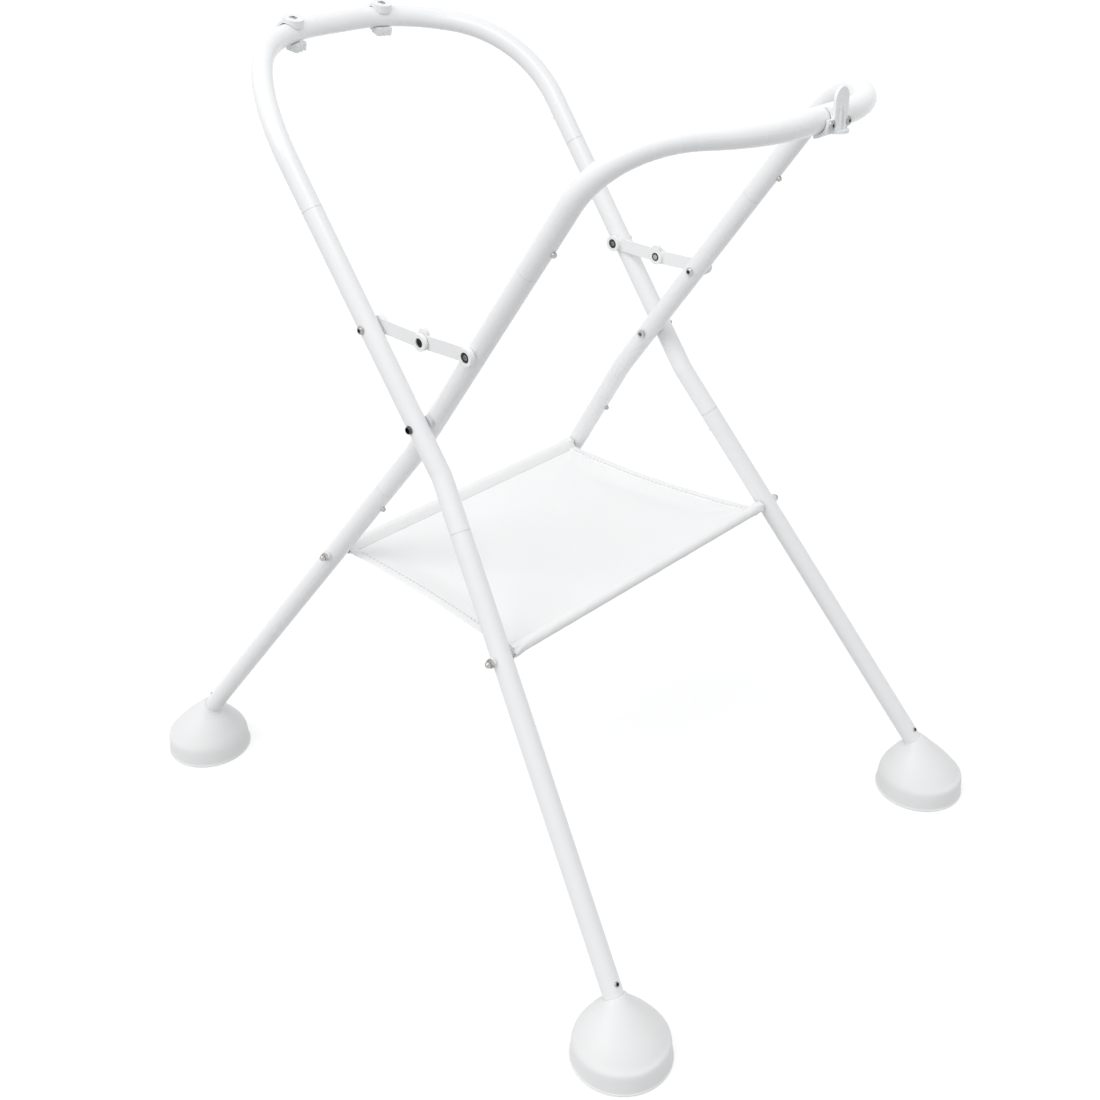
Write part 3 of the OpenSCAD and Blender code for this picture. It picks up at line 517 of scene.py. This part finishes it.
# %% [markdown]
# ## The bell feet
# Each foot is a bell of satin plastic: a thin rim, a skirt, a crease that is crisp on one side, and a shoulder
# that closes on the tube at the tube's own slant. It is drawn as a turner would draw it, ring by ring: a circle is
# extruded upwards, and each new ring is scaled, shifted and tipped. Two rings close together keep an edge crisp
# when the surface is subdivided. One foot is modelled for each frame, since their tubes slant differently.

# %% Make a drawer of rings
FOOT_POINTS, SCREW_POINTS = 48, 24


class RingDrawer:
    """Draws a closed ring and extrudes it step by step. A ring has a centre, a radius and a tip about Y."""

    def __init__(self, name, height, radius, points):
        deselect()
        bpy.ops.mesh.primitive_circle_add(vertices=points, radius=radius, location=(0, 0, height))
        self.piece = bpy.context.object
        self.piece.name = name
        bpy.ops.object.transform_apply(location=True, rotation=True, scale=True)
        bpy.ops.object.mode_set(mode="EDIT")
        bpy.ops.mesh.select_all(action="SELECT")
        self.centre, self.radius, self.tip = Vector((0, 0, height)), radius, 0.0

    def ring(self, height, radius, shift=0.0, tip=0.0):
        """Extrudes to a new ring: its height, its radius, how far it lies towards +X, and its tip."""
        centre = Vector((shift, 0, height))
        bpy.ops.mesh.extrude_region_move(TRANSFORM_OT_translate={"value": centre - self.centre})
        self.turn(-self.tip, centre)
        wider = radius / self.radius
        bpy.ops.transform.resize(value=(wider, wider, 1), center_override=centre)
        self.turn(tip, centre)
        self.centre, self.radius, self.tip = centre, radius, tip

    def turn(self, angle, centre):
        """Tips the selected ring: a positive angle lifts its +X side."""
        if angle:
            bpy.ops.transform.rotate(value=angle, orient_axis="Y", center_override=centre)

    def close(self):
        """Fills the two open ends."""
        bpy.ops.mesh.select_all(action="DESELECT")
        bpy.ops.mesh.select_non_manifold()
        bpy.ops.mesh.edge_face_add()
        bpy.ops.mesh.select_all(action="SELECT")
        bpy.ops.mesh.normals_make_consistent(inside=False)
        bpy.ops.object.mode_set(mode="OBJECT")


# %% Draw a bell foot
LEAN = math.radians(36.2)
SPLAY = {"outer": math.radians(9.4), "inner": math.radians(11.2)}
FOOT_R, RIM_H = 60.2 * MM, 2.5 * MM
SKIRT_R, SKIRT_TOP_R = 59.0 * MM, 57.4 * MM
CREASE_H = 30 * MM
TUBE_END_H, FOOT_INSET = 77 * MM, 39 * MM
COLLAR_R, TUBE_R, LIP_DROP = 14.6 * MM, 12.5 * MM, 0.1 * MM
HOLLOW_H, HOLLOW_R = 4 * MM, 20 * MM
# The hollow underside: height and radius in mm
UNDERSIDE = ((4, 50), (3.2, 51.6), (0.4, 52.4), (0, 53))
# The shoulder: height, radius and shift towards the leg in mm, and tip in degrees
SHOULDER = ((41, 47.4, 1.6, 1), (50.5, 39.8, 5.0, -1), (61, 29.8, 9.3, -6), (69, 21.5, 13.6, -18),
            (73.5, 17.5, 16.0, -28))
# The collar round the tube and the mouth inside it: how far below the lip in mm, and radius
COLLAR = ((1.6, COLLAR_R + 0.5 * MM), (0.8, COLLAR_R), (0.15, COLLAR_R - 0.1 * MM), (0, COLLAR_R - 0.4 * MM),
          (0, TUBE_R - 1.0 * MM), (0.6, TUBE_R - 1.5 * MM), (8.0, TUBE_R - 1.8 * MM))


def bell_foot(name, splay):
    """A foot about the middle of its base, with the leg coming in from the +X side."""
    leg_tilt = math.acos(math.cos(splay) * math.cos(LEAN))
    inset_x = FOOT_INSET * math.sin(leg_tilt) / (math.cos(splay) * math.sin(LEAN))
    along = Vector((math.sin(leg_tilt), 0, math.cos(leg_tilt)))
    lip = Vector((TUBE_END_H * math.tan(leg_tilt) - inset_x, 0, TUBE_END_H)) - along * LIP_DROP
    drawer = RingDrawer(name, HOLLOW_H, HOLLOW_R, FOOT_POINTS)
    for height, radius in UNDERSIDE:
        drawer.ring(height * MM, radius * MM)
    for height, radius in ((0, FOOT_R - 0.8 * MM), (0.5 * MM, FOOT_R), (RIM_H - 0.5 * MM, FOOT_R),
                           (RIM_H, FOOT_R - 0.5 * MM), (RIM_H, SKIRT_R + 0.2 * MM), (RIM_H + 0.6 * MM, SKIRT_R),
                           (CREASE_H - 10 * MM, SKIRT_TOP_R + 0.6 * MM)):
        drawer.ring(height, radius)
    # The two rings of the crease are close together on the side away from the leg, and part towards the leg
    drawer.ring(CREASE_H - 2.6 * MM, SKIRT_TOP_R - 0.4 * MM, tip=math.radians(-1.8))
    drawer.ring(CREASE_H + 3.0 * MM, 53.2 * MM, 0.6 * MM, math.radians(2.4))
    for height, radius, shift, tip in SHOULDER:
        drawer.ring(height * MM, radius * MM, shift * MM, math.radians(tip))
    for below, radius in COLLAR:
        place = lip - along * below * MM
        drawer.ring(place.z, radius, place.x, -leg_tilt)
    drawer.close()
    smooth = drawer.piece.modifiers.new("smooth", "SUBSURF")
    smooth.levels = smooth.render_levels = 2
    return finish_mesh(drawer.piece, SOFT_ANGLE)


# %% Put a foot on each leg
FLIP_X, FLIP_Y = Matrix.Diagonal((-1, 1, 1, 1)), Matrix.Diagonal((1, -1, 1, 1))

for frame_name, splay in SPLAY.items():
    pattern = bell_foot("foot_pattern_" + frame_name, splay)
    low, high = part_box(f"foot_{frame_name}_right")
    turned = Matrix.Rotation(math.atan2(math.cos(splay) * math.sin(LEAN), -math.sin(splay)), 4, "Z")
    if frame_name == "inner":
        turned = FLIP_Y @ turned
    placed = Matrix.Translation(((low.x + high.x) / 2, (low.y + high.y) / 2, 0)) @ turned
    for side, matrix in (("right", placed), ("left", FLIP_X @ placed)):
        foot = placed_copy(pattern, f"bell_foot_{frame_name}_{side}", matrix)
        dress(foot, "foot_plastic", f"{frame_name}_frame", f"foot_{frame_name}_{side}")
    bpy.data.objects.remove(pattern)
print("bell feet modelled")

# %% [markdown]
# ## Rounded edges for what is moulded
# The braces and the clips are moulded or stamped, and nothing of that kind has a knife edge. Their solids already
# have the right shape, so a copy is taken, its loose triangles are merged and flattened into whole faces, and its
# edges are rounded with a bevel. The solid itself stays as it is, out of sight.

# %% Round the braces and clips
MERGE_WITHIN = 0.002 * MM
FLAT_WITHIN, EDGE_FROM = math.radians(0.6), math.radians(40)
STRIP_ROUNDING, CLIP_ROUNDING = 0.45 * MM, 0.55 * MM


def rounded_copy(node_name, name, width, segments=3):
    """A copy of a solid with its sharp edges rounded off."""
    copy = placed_copy(frame["nodes"][node_name], name, Matrix())
    copy.parent = None
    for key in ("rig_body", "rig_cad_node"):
        del copy[key]
    work_on(copy)
    bpy.ops.mesh.customdata_custom_splitnormals_clear()
    bpy.ops.mesh.select_all(action="SELECT")
    bpy.ops.mesh.remove_doubles(threshold=MERGE_WITHIN)
    bpy.ops.mesh.dissolve_limited(angle_limit=FLAT_WITHIN)
    bpy.ops.object.mode_set(mode="OBJECT")
    rounding = copy.modifiers.new("rounding", "BEVEL")
    rounding.width = width
    rounding.segments = segments
    rounding.limit_method = "ANGLE"
    rounding.angle_limit = EDGE_FROM
    return finish_mesh(copy, MOULDED_ANGLE)


def even_light(piece):
    """Straightens the normals of large flat faces, so that the light runs evenly over them up to their edges."""
    work_on(piece, "OBJECT")
    even = piece.modifiers.new("even_light", "WEIGHTED_NORMAL")
    even.keep_sharp = True
    bpy.ops.object.modifier_apply(modifier=even.name)
    return piece


for frame_name in SPLAY:
    for side in ("left", "right"):
        node_name = f"brace_{frame_name}_{side}"
        strip = even_light(rounded_copy(node_name, f"strip_{frame_name}_{side}", STRIP_ROUNDING))
        dress(strip, "brace_white", node_name, node_name)
for frame_name, place in (("outer", "outer_left"), ("outer", "outer_right"), ("inner", "inner")):
    clip = even_light(rounded_copy("rim_clip_" + place, "bath_clip_" + place, CLIP_ROUNDING))
    dress(clip, "clip_plastic", frame_name + "_frame", "rim_clip_" + place)
print("braces and clips rounded")

# %% [markdown]
# ## The screws
# Every screw has a domed head with a six-sided socket. Where each one is, and how large, is measured on its solid:
# the largest flat faces of a screw all look along its axis, and its widest points are in its head. It is drawn ring
# by ring from the tip of the shaft, over the dome and down into the socket, whose ring is then drawn out to six
# corners.

# %% Measure the screws
ALONG_AXIS = 0.999
HEAD_SHARE = 0.9
TIP_LENGTH = 0.05 * MM


def islands(mesh):
    """The separate pieces of a mesh, as lists of faces."""
    met = set()
    for start in mesh.faces:
        if start in met:
            continue
        met.add(start)
        stack, island = [start], []
        while stack:
            face = stack.pop()
            island.append(face)
            for edge in face.edges:
                for other in edge.link_faces:
                    if other not in met:
                        met.add(other)
                        stack.append(other)
        yield island


def measured_screws(node_name):
    """For each screw of a solid: its tip, direction, length, head height, head radius and shaft radius."""
    mesh = bmesh.new()
    mesh.from_mesh(frame["nodes"][node_name].data)
    bmesh.ops.remove_doubles(mesh, verts=mesh.verts, dist=MERGE_WITHIN)
    found = []
    for island in islands(mesh):
        areas = {}
        for face in island:
            sign = -1 if tuple(face.normal) < (0, 0, 0) else 1
            key = tuple(round(sign * v, 2) for v in face.normal)
            areas[key] = areas.get(key, 0) + face.calc_area()
        axis = Vector(max(areas, key=areas.get)).normalized()
        flat = [f for f in island if abs(f.normal.dot(axis)) > ALONG_AXIS]
        pulls = [f.normal * f.calc_area() * math.copysign(1, f.normal.dot(axis)) for f in flat]
        axis = sum(pulls, Vector()).normalized()
        points = list(dict.fromkeys(v for f in island for v in f.verts))
        middle = sum((v.co for v in points), Vector()) / len(points)
        middle -= axis * middle.dot(axis)
        reach = [(v.co.dot(axis), (v.co - axis * v.co.dot(axis) - middle).length) for v in points]
        low, high = min(reach)[0], max(reach)[0]
        head_r = max(r for _, r in reach)
        wide = [a for a, r in reach if r > HEAD_SHARE * head_r]
        if sum(wide) / len(wide) < (low + high) / 2:
            axis, low, high = -axis, -high, -low
            reach = [(-a, r) for a, r in reach]
        shaft_r = max(r for a, r in reach if a < low + TIP_LENGTH)
        head_h = high - min(a for a, r in reach if r > HEAD_SHARE * head_r)
        found.append((middle + axis * low, axis, high - low, head_h, head_r, shaft_r))
    mesh.free()
    return found


# %% Draw a screw
SOCKET_SIDES, FLAT_SHARE = 6, 0.93
# How much shade is painted at the tip of each screw's shaft
TIP_SHADE = 0.7


def socket_screw(name, length, head_h, head_r, shaft_r, socket_share, socket_shade, head_shade):
    """A screw along +Z with its tip at the origin. Its last two arguments set painted shade: how dark its socket is,
    and how dark the rest of its head.
    """
    under, socket = length - head_h, head_r * socket_share
    shaft = [(0.4 * MM, shaft_r), (under - 0.2 * MM, shaft_r), (under, 1.02 * shaft_r)]
    dome = [(under, head_r - 0.25 * MM), (under + 0.2 * MM, head_r), (under + 0.4 * head_h, 0.97 * head_r),
            (under + 0.78 * head_h, 0.84 * head_r), (length, socket + 0.5 * MM)]
    hollow = [(length, socket + 0.1 * MM), (length - 0.15 * MM, socket), (length - 0.8 * head_h, 0.97 * socket),
              (length - 0.85 * head_h, 0.5 * socket)]
    drawer = RingDrawer(name, 0, 0.7 * shaft_r, SCREW_POINTS)
    for height, radius in shaft + dome + hollow:
        drawer.ring(height, radius)
    drawer.close()
    mesh = drawer.piece.data
    # Painted shade at the points: one amount over the head, one at the tip of the shaft and one in the socket
    shade_at_points = mesh.attributes.new("painted_shade", "FLOAT", "POINT")
    for i, vertex in enumerate(mesh.vertices):
        in_head, at_tip = vertex.co.z > under - 0.3 * MM, vertex.co.z < 0.2 * MM
        shade_at_points.data[i].value = head_shade if in_head else TIP_SHADE if at_tip else 0
        if vertex.co.xy.length < socket + 0.02 * MM and vertex.co.z > under:
            corner = math.atan2(vertex.co.y, vertex.co.x) % (2 * math.pi / SOCKET_SIDES) - math.pi / SOCKET_SIDES
            vertex.co.xy *= FLAT_SHARE / math.cos(corner)
            shade_at_points.data[i].value = socket_shade
    return finish_mesh(drawer.piece, SCREW_ANGLE)


# %% Put the screws in their places
# Each has its finish, its body, its socket's share of the head, the painted shade in its socket and the painted shade
# on its head
SOCKET_SCREWS = {
    "clip_screws_outer": ("dark_steel", "outer_frame", 0.34, 0.45, 0.0),
    "clip_screws_inner": ("dark_steel", "inner_frame", 0.36, 0.60, 0.0),
    "foot_screws_outer": ("dark_steel", "outer_frame", 0.62, 1.0, 0.15),
    "foot_screws_inner": ("dark_steel", "inner_frame", 0.62, 1.0, 0.15),
    "brace_screws_outer": ("bright_steel", "outer_frame", 0.46, 0.85, 0.25),
    "brace_screws_inner": ("bright_steel", "inner_frame", 0.46, 0.85, 0.0),
    "pivot_bolts": ("dark_steel", "outer_frame", 0.70, 1.0, 0.75),
}

for node_name, (slot_name, body, socket_share, socket_shade, head_shade) in SOCKET_SCREWS.items():
    pieces = []
    for tip, axis, length, head_h, head_r, shaft_r in measured_screws(node_name):
        screw = socket_screw("screw", length, head_h, head_r, shaft_r, socket_share, socket_shade, head_shade)
        screw.data.transform(Matrix.Translation(tip) @ axis.to_track_quat("Z", "Y").to_matrix().to_4x4())
        pieces.append(screw)
    deselect()
    for screw in pieces:
        screw.select_set(True)
    bpy.context.view_layer.objects.active = pieces[0]
    bpy.ops.object.join()
    pieces[0].name = "socket_" + node_name
    dress(pieces[0], slot_name, body, node_name)
    print(node_name, "modelled, head radius", round(head_r / MM, 2), "mm, length", round(length / MM, 1), "mm")

# %% [markdown]
# ## The nuts and knuckles
# The nuts of the braces and the two halves of each knuckle's rivet lie deep in their pockets, where little light
# comes, so shade is painted on them. They keep their shape, with softened edges. Their round end faces get two inner
# rings, so that the painted shade can fade towards the middle.

# %% Paint shade on what is deep in its pocket
ROUND_WITHIN = 1.25
END_FACE = 8 * MM * MM
INNER_RINGS = (0.9 * MM, 0.4 * MM)
SUNKEN_ROUNDING = 0.2 * MM
# How much shade is painted on the nuts and on the knuckles round their edges
NUT_SHADE, KNUCKLE_SHADE = 0.93, 0.96
# For each frame's knuckles: the part that shows, and the painted shade in its middle
KNUCKLE_MIDDLES = {"outer": ("screw", 0.93), "inner": ("nut", 0.1)}


def sunken_copy(node_name, rim, centre):
    """A rounded copy with painted shade: rim round its edge and centre in its middle."""
    sunken = rounded_copy(node_name, "sunken_" + node_name, SUNKEN_ROUNDING, 2)
    work_on(sunken)
    bpy.ops.mesh.select_all(action="DESELECT")
    shape = bmesh.from_edit_mesh(sunken.data)
    for face in shape.faces:
        area = face.calc_area()
        is_round = face.calc_perimeter() ** 2 < ROUND_WITHIN * 4 * math.pi * area
        face.select_set(is_round and abs(face.normal.x) > 0.99 and area > END_FACE)
    bmesh.update_edit_mesh(sunken.data)
    for thickness in INNER_RINGS:
        bpy.ops.mesh.inset(thickness=thickness)
    bpy.ops.object.mode_set(mode="OBJECT")
    depth = sunken.data.attributes.new("painted_shade", "FLOAT", "POINT")
    for vertex in sunken.data.vertices:
        depth.data[vertex.index].value = centre if vertex.select else rim
    return sunken


for frame_name, (part, centre) in KNUCKLE_MIDDLES.items():
    nuts = sunken_copy("brace_nuts_" + frame_name, NUT_SHADE, NUT_SHADE)
    dress(nuts, "bright_steel", frame_name + "_frame", "brace_nuts_" + frame_name)
    for side in ("left", "right"):
        node_name = f"knuckle_{part}_{side}"
        dress(sunken_copy(node_name, KNUCKLE_SHADE, centre), "bright_steel", f"brace_{frame_name}_{side}", node_name)
print("nuts and knuckles darkened")

# %% [markdown]
# ## The cloth shelf
# The shelf is one piece of cloth with a sleeve sewn at each end, and the sleeves are pushed onto the two rods. The
# cloth is stretched between the rods: it sags a little in the middle, its free sides are drawn in, and the hems
# along them are tauter than the rest, so they stay higher. It is drawn as the cloth lies, along a path round one
# rod, across and round the other.

# %% Measure the rods
outer_low, outer_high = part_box("shelf_rod_outer")
inner_low, inner_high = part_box("shelf_rod_inner")
ROD_Z = (outer_low.z + outer_high.z) / 2
ROD_Y = (inner_low.y + inner_high.y) / 2
ROD_R = (outer_high.z - outer_low.z) / 2
NARROWER = 24.3 * MM
OUTER_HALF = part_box("shelf_cloth")[1].x
INNER_HALF = OUTER_HALF - NARROWER
print("rods at y", -ROD_Y, ROD_Y, "and height", ROD_Z)

# %% [markdown]
# A sleeve is a drop in section: the cloth wraps the rod, and its two layers meet at a seam that the pull of the shelf
# draws inwards and down. The panel starts from the seam. So the path starts under the seam of the outer sleeve and
# ends under that of the inner one.

# %% Draw the shelf's path
CLOTH_T = 0.7 * MM
SLEEVE_R = ROD_R + 0.9 * MM
SEAM_IN, SEAM_DROP = 9.8 * MM, 4.6 * MM
SEAM_Y = ROD_Y - SEAM_IN
SAG = 5.6 * MM
ARC_STEPS, LAYER_STEPS, PANEL_STEPS = 22, 4, 110


def sleeve_path():
    """The path of a sleeve from under its seam, round the rod, to the top of its seam, as (inwards, up)."""
    seam = Vector((SEAM_IN, -SEAM_DROP))
    slope = math.atan2(seam.y, seam.x)
    reach = math.acos(SLEEVE_R / seam.length)
    lower = [slope - reach - (2 * math.pi - 2 * reach) * i / ARC_STEPS for i in range(ARC_STEPS + 1)]
    around = [Vector((math.cos(a), math.sin(a))) * SLEEVE_R for a in lower]
    under = seam - Vector((0, 1.1 * CLOTH_T))
    straight_in = [under.lerp(around[0], i / LAYER_STEPS) for i in range(LAYER_STEPS)]
    straight_out = [around[-1].lerp(seam, i / LAYER_STEPS) for i in range(1, LAYER_STEPS + 1)]
    return straight_in + around + straight_out


def fullness(y, end):
    """1 in the middle of the shelf, and 0 at its end and beyond."""
    return max(0.0, 1 - (y / end) ** 2)


def panel_z(y):
    """Height of the smooth panel."""
    return ROD_Z - SEAM_DROP - SAG * fullness(y, SEAM_Y)


sleeve = sleeve_path()
panel = [SEAM_Y * (2 * i / PANEL_STEPS - 1) for i in range(1, PANEL_STEPS)]
route = [Vector((-ROD_Y + p.x, ROD_Z + p.y)) for p in sleeve]
route += [Vector((y, panel_z(y))) for y in panel]
route += [Vector((ROD_Y - p.x, ROD_Z + p.y)) for p in reversed(sleeve)]
print("path of", len(route), "points")

# %% [markdown]
# Across the path the cloth is as wide as the rods allow. Its sides are drawn in towards the middle. The hems carry
# most of the pull, so the sag fades towards them and leaves a long soft trough inside each, and small creases run
# in from the corners and from the gathered ends of the sleeves.

# %% Fold and crease the cloth
DRAWN_IN = 9 * MM
HEM_LIFT, HEM_PULL = 3.2 * MM, 24 * MM  # height and reach of the lift along each hem
TROUGH, TROUGH_AT, TROUGH_W = 2.4 * MM, 42 * MM, 17 * MM  # depth, distance from the hem and width
FAN_H, FAN_AT, FAN_W, FAN_START = 0.35 * MM, 30 * MM, 55 * MM, 9 * MM
FAN_FOLDS, FAN_BLUNT = 13, 4 * MM  # folds out of a corner, and its blunt tip
PRESSED_H, PRESSED_AT, PRESSED_W = 0.45 * MM, 62 * MM, 2.6 * MM  # the line where the cloth lay folded
PRESSED_SLANT = 0.08
CALM_H = 0.5 * MM
GATHER_H, GATHER_W, RIPPLE_H = 1.8 * MM, 15 * MM, 0.25 * MM
GATHER_FOLDS, GATHER_TWIST = 6, 230  # folds round a sleeve, and their turn per metre
SLEEVE_REACH, SLEEVE_FADE = 10.2 * MM, 2.5 * MM


def half_width(y):
    """Half of the cloth's width at a distance y from the middle."""
    straight = (OUTER_HALF * (ROD_Y - y) + INNER_HALF * (ROD_Y + y)) / (2 * ROD_Y)
    return straight - DRAWN_IN * fullness(y, ROD_Y)


def hump(distance, width):
    """1 at no distance, fading to nothing over about twice the width."""
    return math.exp(-(distance / width) ** 2)


def creases(x, y, edge):
    """Height of the small folds: along the hems, out of the corners, over the panel. edge: how far its side is."""
    full = fullness(y, SEAM_Y)
    height = full * (HEM_LIFT * hump(edge, HEM_PULL) - TROUGH * hump(edge - TROUGH_AT, TROUGH_W))
    for corner_y in (-SEAM_Y, SEAM_Y):
        away = abs(y - corner_y)
        fan = math.atan2(away, edge + FAN_BLUNT)
        near = hump(math.hypot(edge, away) - FAN_AT, FAN_W)
        height += FAN_H * math.sin(FAN_FOLDS * fan + 1.3) * near * min(1, away / FAN_START)
    height += CALM_H * math.sin(31 * x + 19 * y) * math.sin(23 * y - 9 * x + 0.7) * full
    return height + PRESSED_H * hump(x - PRESSED_AT + PRESSED_SLANT * y, PRESSED_W) * full


def gather(x, angle, edge):
    """The pucker of a sleeve towards its ends."""
    turns = GATHER_FOLDS * angle + GATHER_TWIST * edge + math.copysign(5, x)
    folds = GATHER_H * hump(edge, GATHER_W) * math.sin(turns)
    return folds + RIPPLE_H * math.sin(160 * x + 3 * angle) * math.sin(47 * x + 1)


def cloth_point(place, across):
    """A point of the cloth, for a place on the path. across runs from -1 at the left side to 1 at the right."""
    y, z = place
    half = half_width(y)
    x = across * half
    edge = half - abs(x)
    if abs(y) < SEAM_Y:
        return Vector((x, y, z + creases(x, y, edge)))
    rod = Vector((math.copysign(ROD_Y, y), ROD_Z))
    out = place - rod
    near_rod = min(1.0, max(0.0, (SLEEVE_REACH - out.length) / SLEEVE_FADE))
    push = gather(x, math.atan2(out.y, out.x), edge) * near_rod
    out = out + out.normalized() * max(0.0, push)
    return Vector((x, rod.x + out.x, rod.y + out.y))


# %% Lay the cloth out
ACROSS_STEPS = 120


def grid_piece(name, rows, thickness):
    """A sheet of quads through rows of points, with a map in metres along and across it, and its length."""
    wide = len(rows[0])
    faces = [(r * wide + c, r * wide + c + 1, (r + 1) * wide + c + 1, (r + 1) * wide + c)
             for r in range(len(rows) - 1) for c in range(wide - 1)]
    mesh = bpy.data.meshes.new(name)
    mesh.from_pydata([p for row in rows for p in row], [], faces)
    lengths = [0.0]
    for a, b in zip(rows, rows[1:]):
        lengths.append(lengths[-1] + (b[wide // 2] - a[wide // 2]).length)
    layer = mesh.uv_layers.new(name="weave")
    for loop in mesh.loops:
        row, column = divmod(loop.vertex_index, wide)
        layer.data[loop.index].uv = (rows[row][column].x, lengths[row])
    piece = bpy.data.objects.new(name, mesh)
    bpy.context.scene.collection.objects.link(piece)
    thicken = piece.modifiers.new("thickness", "SOLIDIFY")
    thicken.thickness = thickness
    thicken.offset = 0
    return finish_mesh(piece, SOFT_ANGLE), lengths[-1]


rows = [[cloth_point(place, 2 * c / ACROSS_STEPS - 1) for c in range(ACROSS_STEPS + 1)] for place in route]
shelf, shelf_length = grid_piece("shelf_fabric", rows, CLOTH_T)
print("cloth laid")

# %% [markdown]
# ## Hems and stitches
# Each free side is turned over twice and sewn, and a row of stitches closes each sleeve. A hem is a narrow strip
# that follows the cloth's own surface, a little proud of it. A stitch is a short bead that sinks into the cloth at
# both ends. One is modelled by hand and copied along the seams.

# %% Sew the hems
HEM_STEPS = 330
HEM_T, HEM_RISE = 0.35 * MM, 1.0 * MM
PUCKER_H, PUCKER_WAVE = 0.75 * MM, 880
PUCKER_AT, PUCKER_W = 8, 4.0  # mm from the free side, where the stitches pull
# The hem in section: how far inwards in mm, and the share of its rise
HEM_PROFILE = ((0.2, -0.3), (-0.35, 0.1), (-0.1, 0.8), (0.6, 1.0), (3.0, 1.05), (6.0, 1.0), (9.0, 1.05),
               (11.2, 1.0), (11.9, 0.75), (12.1, 0.2))


def surface_at(x, y):
    """The panel's height at a place."""
    return panel_z(y) + creases(x, y, half_width(y) - abs(x))


def hem_point(side, y, inwards, rise):
    """A point of a hem, on the cloth and raised by its own thickness and its puckers."""
    x = side * (half_width(y) - inwards * MM)
    uneven = 0.55 + 0.45 * math.sin(37 * y + side) * math.sin(83 * y + 2)
    near_seam = 0.35 + hump(inwards - PUCKER_AT, PUCKER_W)
    pucker = PUCKER_H * uneven * math.sin(PUCKER_WAVE * y + 3 * side + 0.25 * inwards) * near_seam
    return Vector((x, y, surface_at(x, min(max(y, -SEAM_Y), SEAM_Y)) + rise * HEM_RISE + pucker))


hems = []
for side, side_name in ((-1, "left"), (1, "right")):
    stations = [(SEAM_Y + 2 * MM) * (2 * i / HEM_STEPS - 1) for i in range(HEM_STEPS + 1)]
    rows = [[hem_point(side, y, inwards, rise) for inwards, rise in HEM_PROFILE] for y in stations]
    hems.append(grid_piece("side_hem_" + side_name, rows, HEM_T)[0])
print("hems sewn:", len(hems))

# %% Sew the stitches
STITCH_LEN, STITCH_GAP, STITCH_R = 2.8 * MM, 3.4 * MM, 0.40 * MM
SLEEVE_SEAM_IN, HEM_SEAM_IN, THREAD_RISE = 1.5 * MM, 10 * MM, 0.18 * MM
UP = Vector((0, 0, 1))

deselect()
bpy.ops.mesh.primitive_uv_sphere_add(segments=6, ring_count=5, radius=STITCH_R)
stitch_pattern = bpy.context.object
bpy.ops.object.mode_set(mode="EDIT")
bpy.ops.mesh.select_all(action="SELECT")
bpy.ops.transform.rotate(value=math.pi / 2, orient_axis="Y", center_override=(0, 0, 0))
bpy.ops.transform.resize(value=(STITCH_LEN / (2 * STITCH_R), 1, 0.8))
bpy.ops.object.mode_set(mode="OBJECT")


def stitch_row(name, points):
    """A row of stitches along a line of points, joined into one mesh."""
    mesh = bmesh.new()
    placed = 0.0
    for a, b in zip(points, points[1:]):
        step = (b - a).length
        direction = (b - a).normalized()
        while placed < step:
            middle = a + direction * placed + UP * STITCH_R * 0.25
            turn = direction.to_track_quat("X", "Z").to_matrix().to_4x4()
            copy = stitch_pattern.data.copy()
            copy.transform(Matrix.Translation(middle) @ turn)
            mesh.from_mesh(copy)
            bpy.data.meshes.remove(copy)
            placed += STITCH_GAP
        placed -= step
    piece = bpy.data.objects.new(name, bpy.data.meshes.new(name))
    mesh.to_mesh(piece.data)
    mesh.free()
    piece.data.uv_layers.new(name="weave")
    bpy.context.scene.collection.objects.link(piece)
    return finish_mesh(piece, SOFT_ANGLE)


def along_seam(half_length, steps, bare):
    """Places along a seam of twice as many steps, with some bare steps at both ends."""
    return [half_length * (i / steps - 1) for i in range(bare, 2 * steps - bare + 1)]


stitches = []
for side, sleeve_name, hem_name in ((-1, "outer", "left"), (1, "inner", "right")):
    y = side * (SEAM_Y - SLEEVE_SEAM_IN)
    across = [Vector((x, y, surface_at(x, y) + CLOTH_T / 2)) for x in along_seam(half_width(SEAM_Y * side), 60, 4)]
    stitches.append(stitch_row("sleeve_stitches_" + sleeve_name, across))
    places = [(side * (half_width(y) - HEM_SEAM_IN), y) for y in along_seam(SEAM_Y, 40, 2)]
    along = [Vector((x, y, surface_at(x, y) + HEM_RISE + THREAD_RISE)) for x, y in places]
    stitches.append(stitch_row("hem_stitches_" + hem_name, along))
bpy.data.objects.remove(stitch_pattern)
print("rows of stitches:", len(stitches))

# %% [markdown]
# The shelf, its hems and its stitches get their finishes, and the imported cloth is hidden.

# %% Give the shelf its finishes
finish_names = ["shelf_fabric"] * (1 + len(hems)) + ["thread"] * len(stitches)
for piece, finish_name in zip([shelf, *hems, *stitches], finish_names):
    piece.data.materials.clear()
    piece.data.materials.append(FINISHES[finish_name])
    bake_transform(piece)
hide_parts("shelf_cloth")
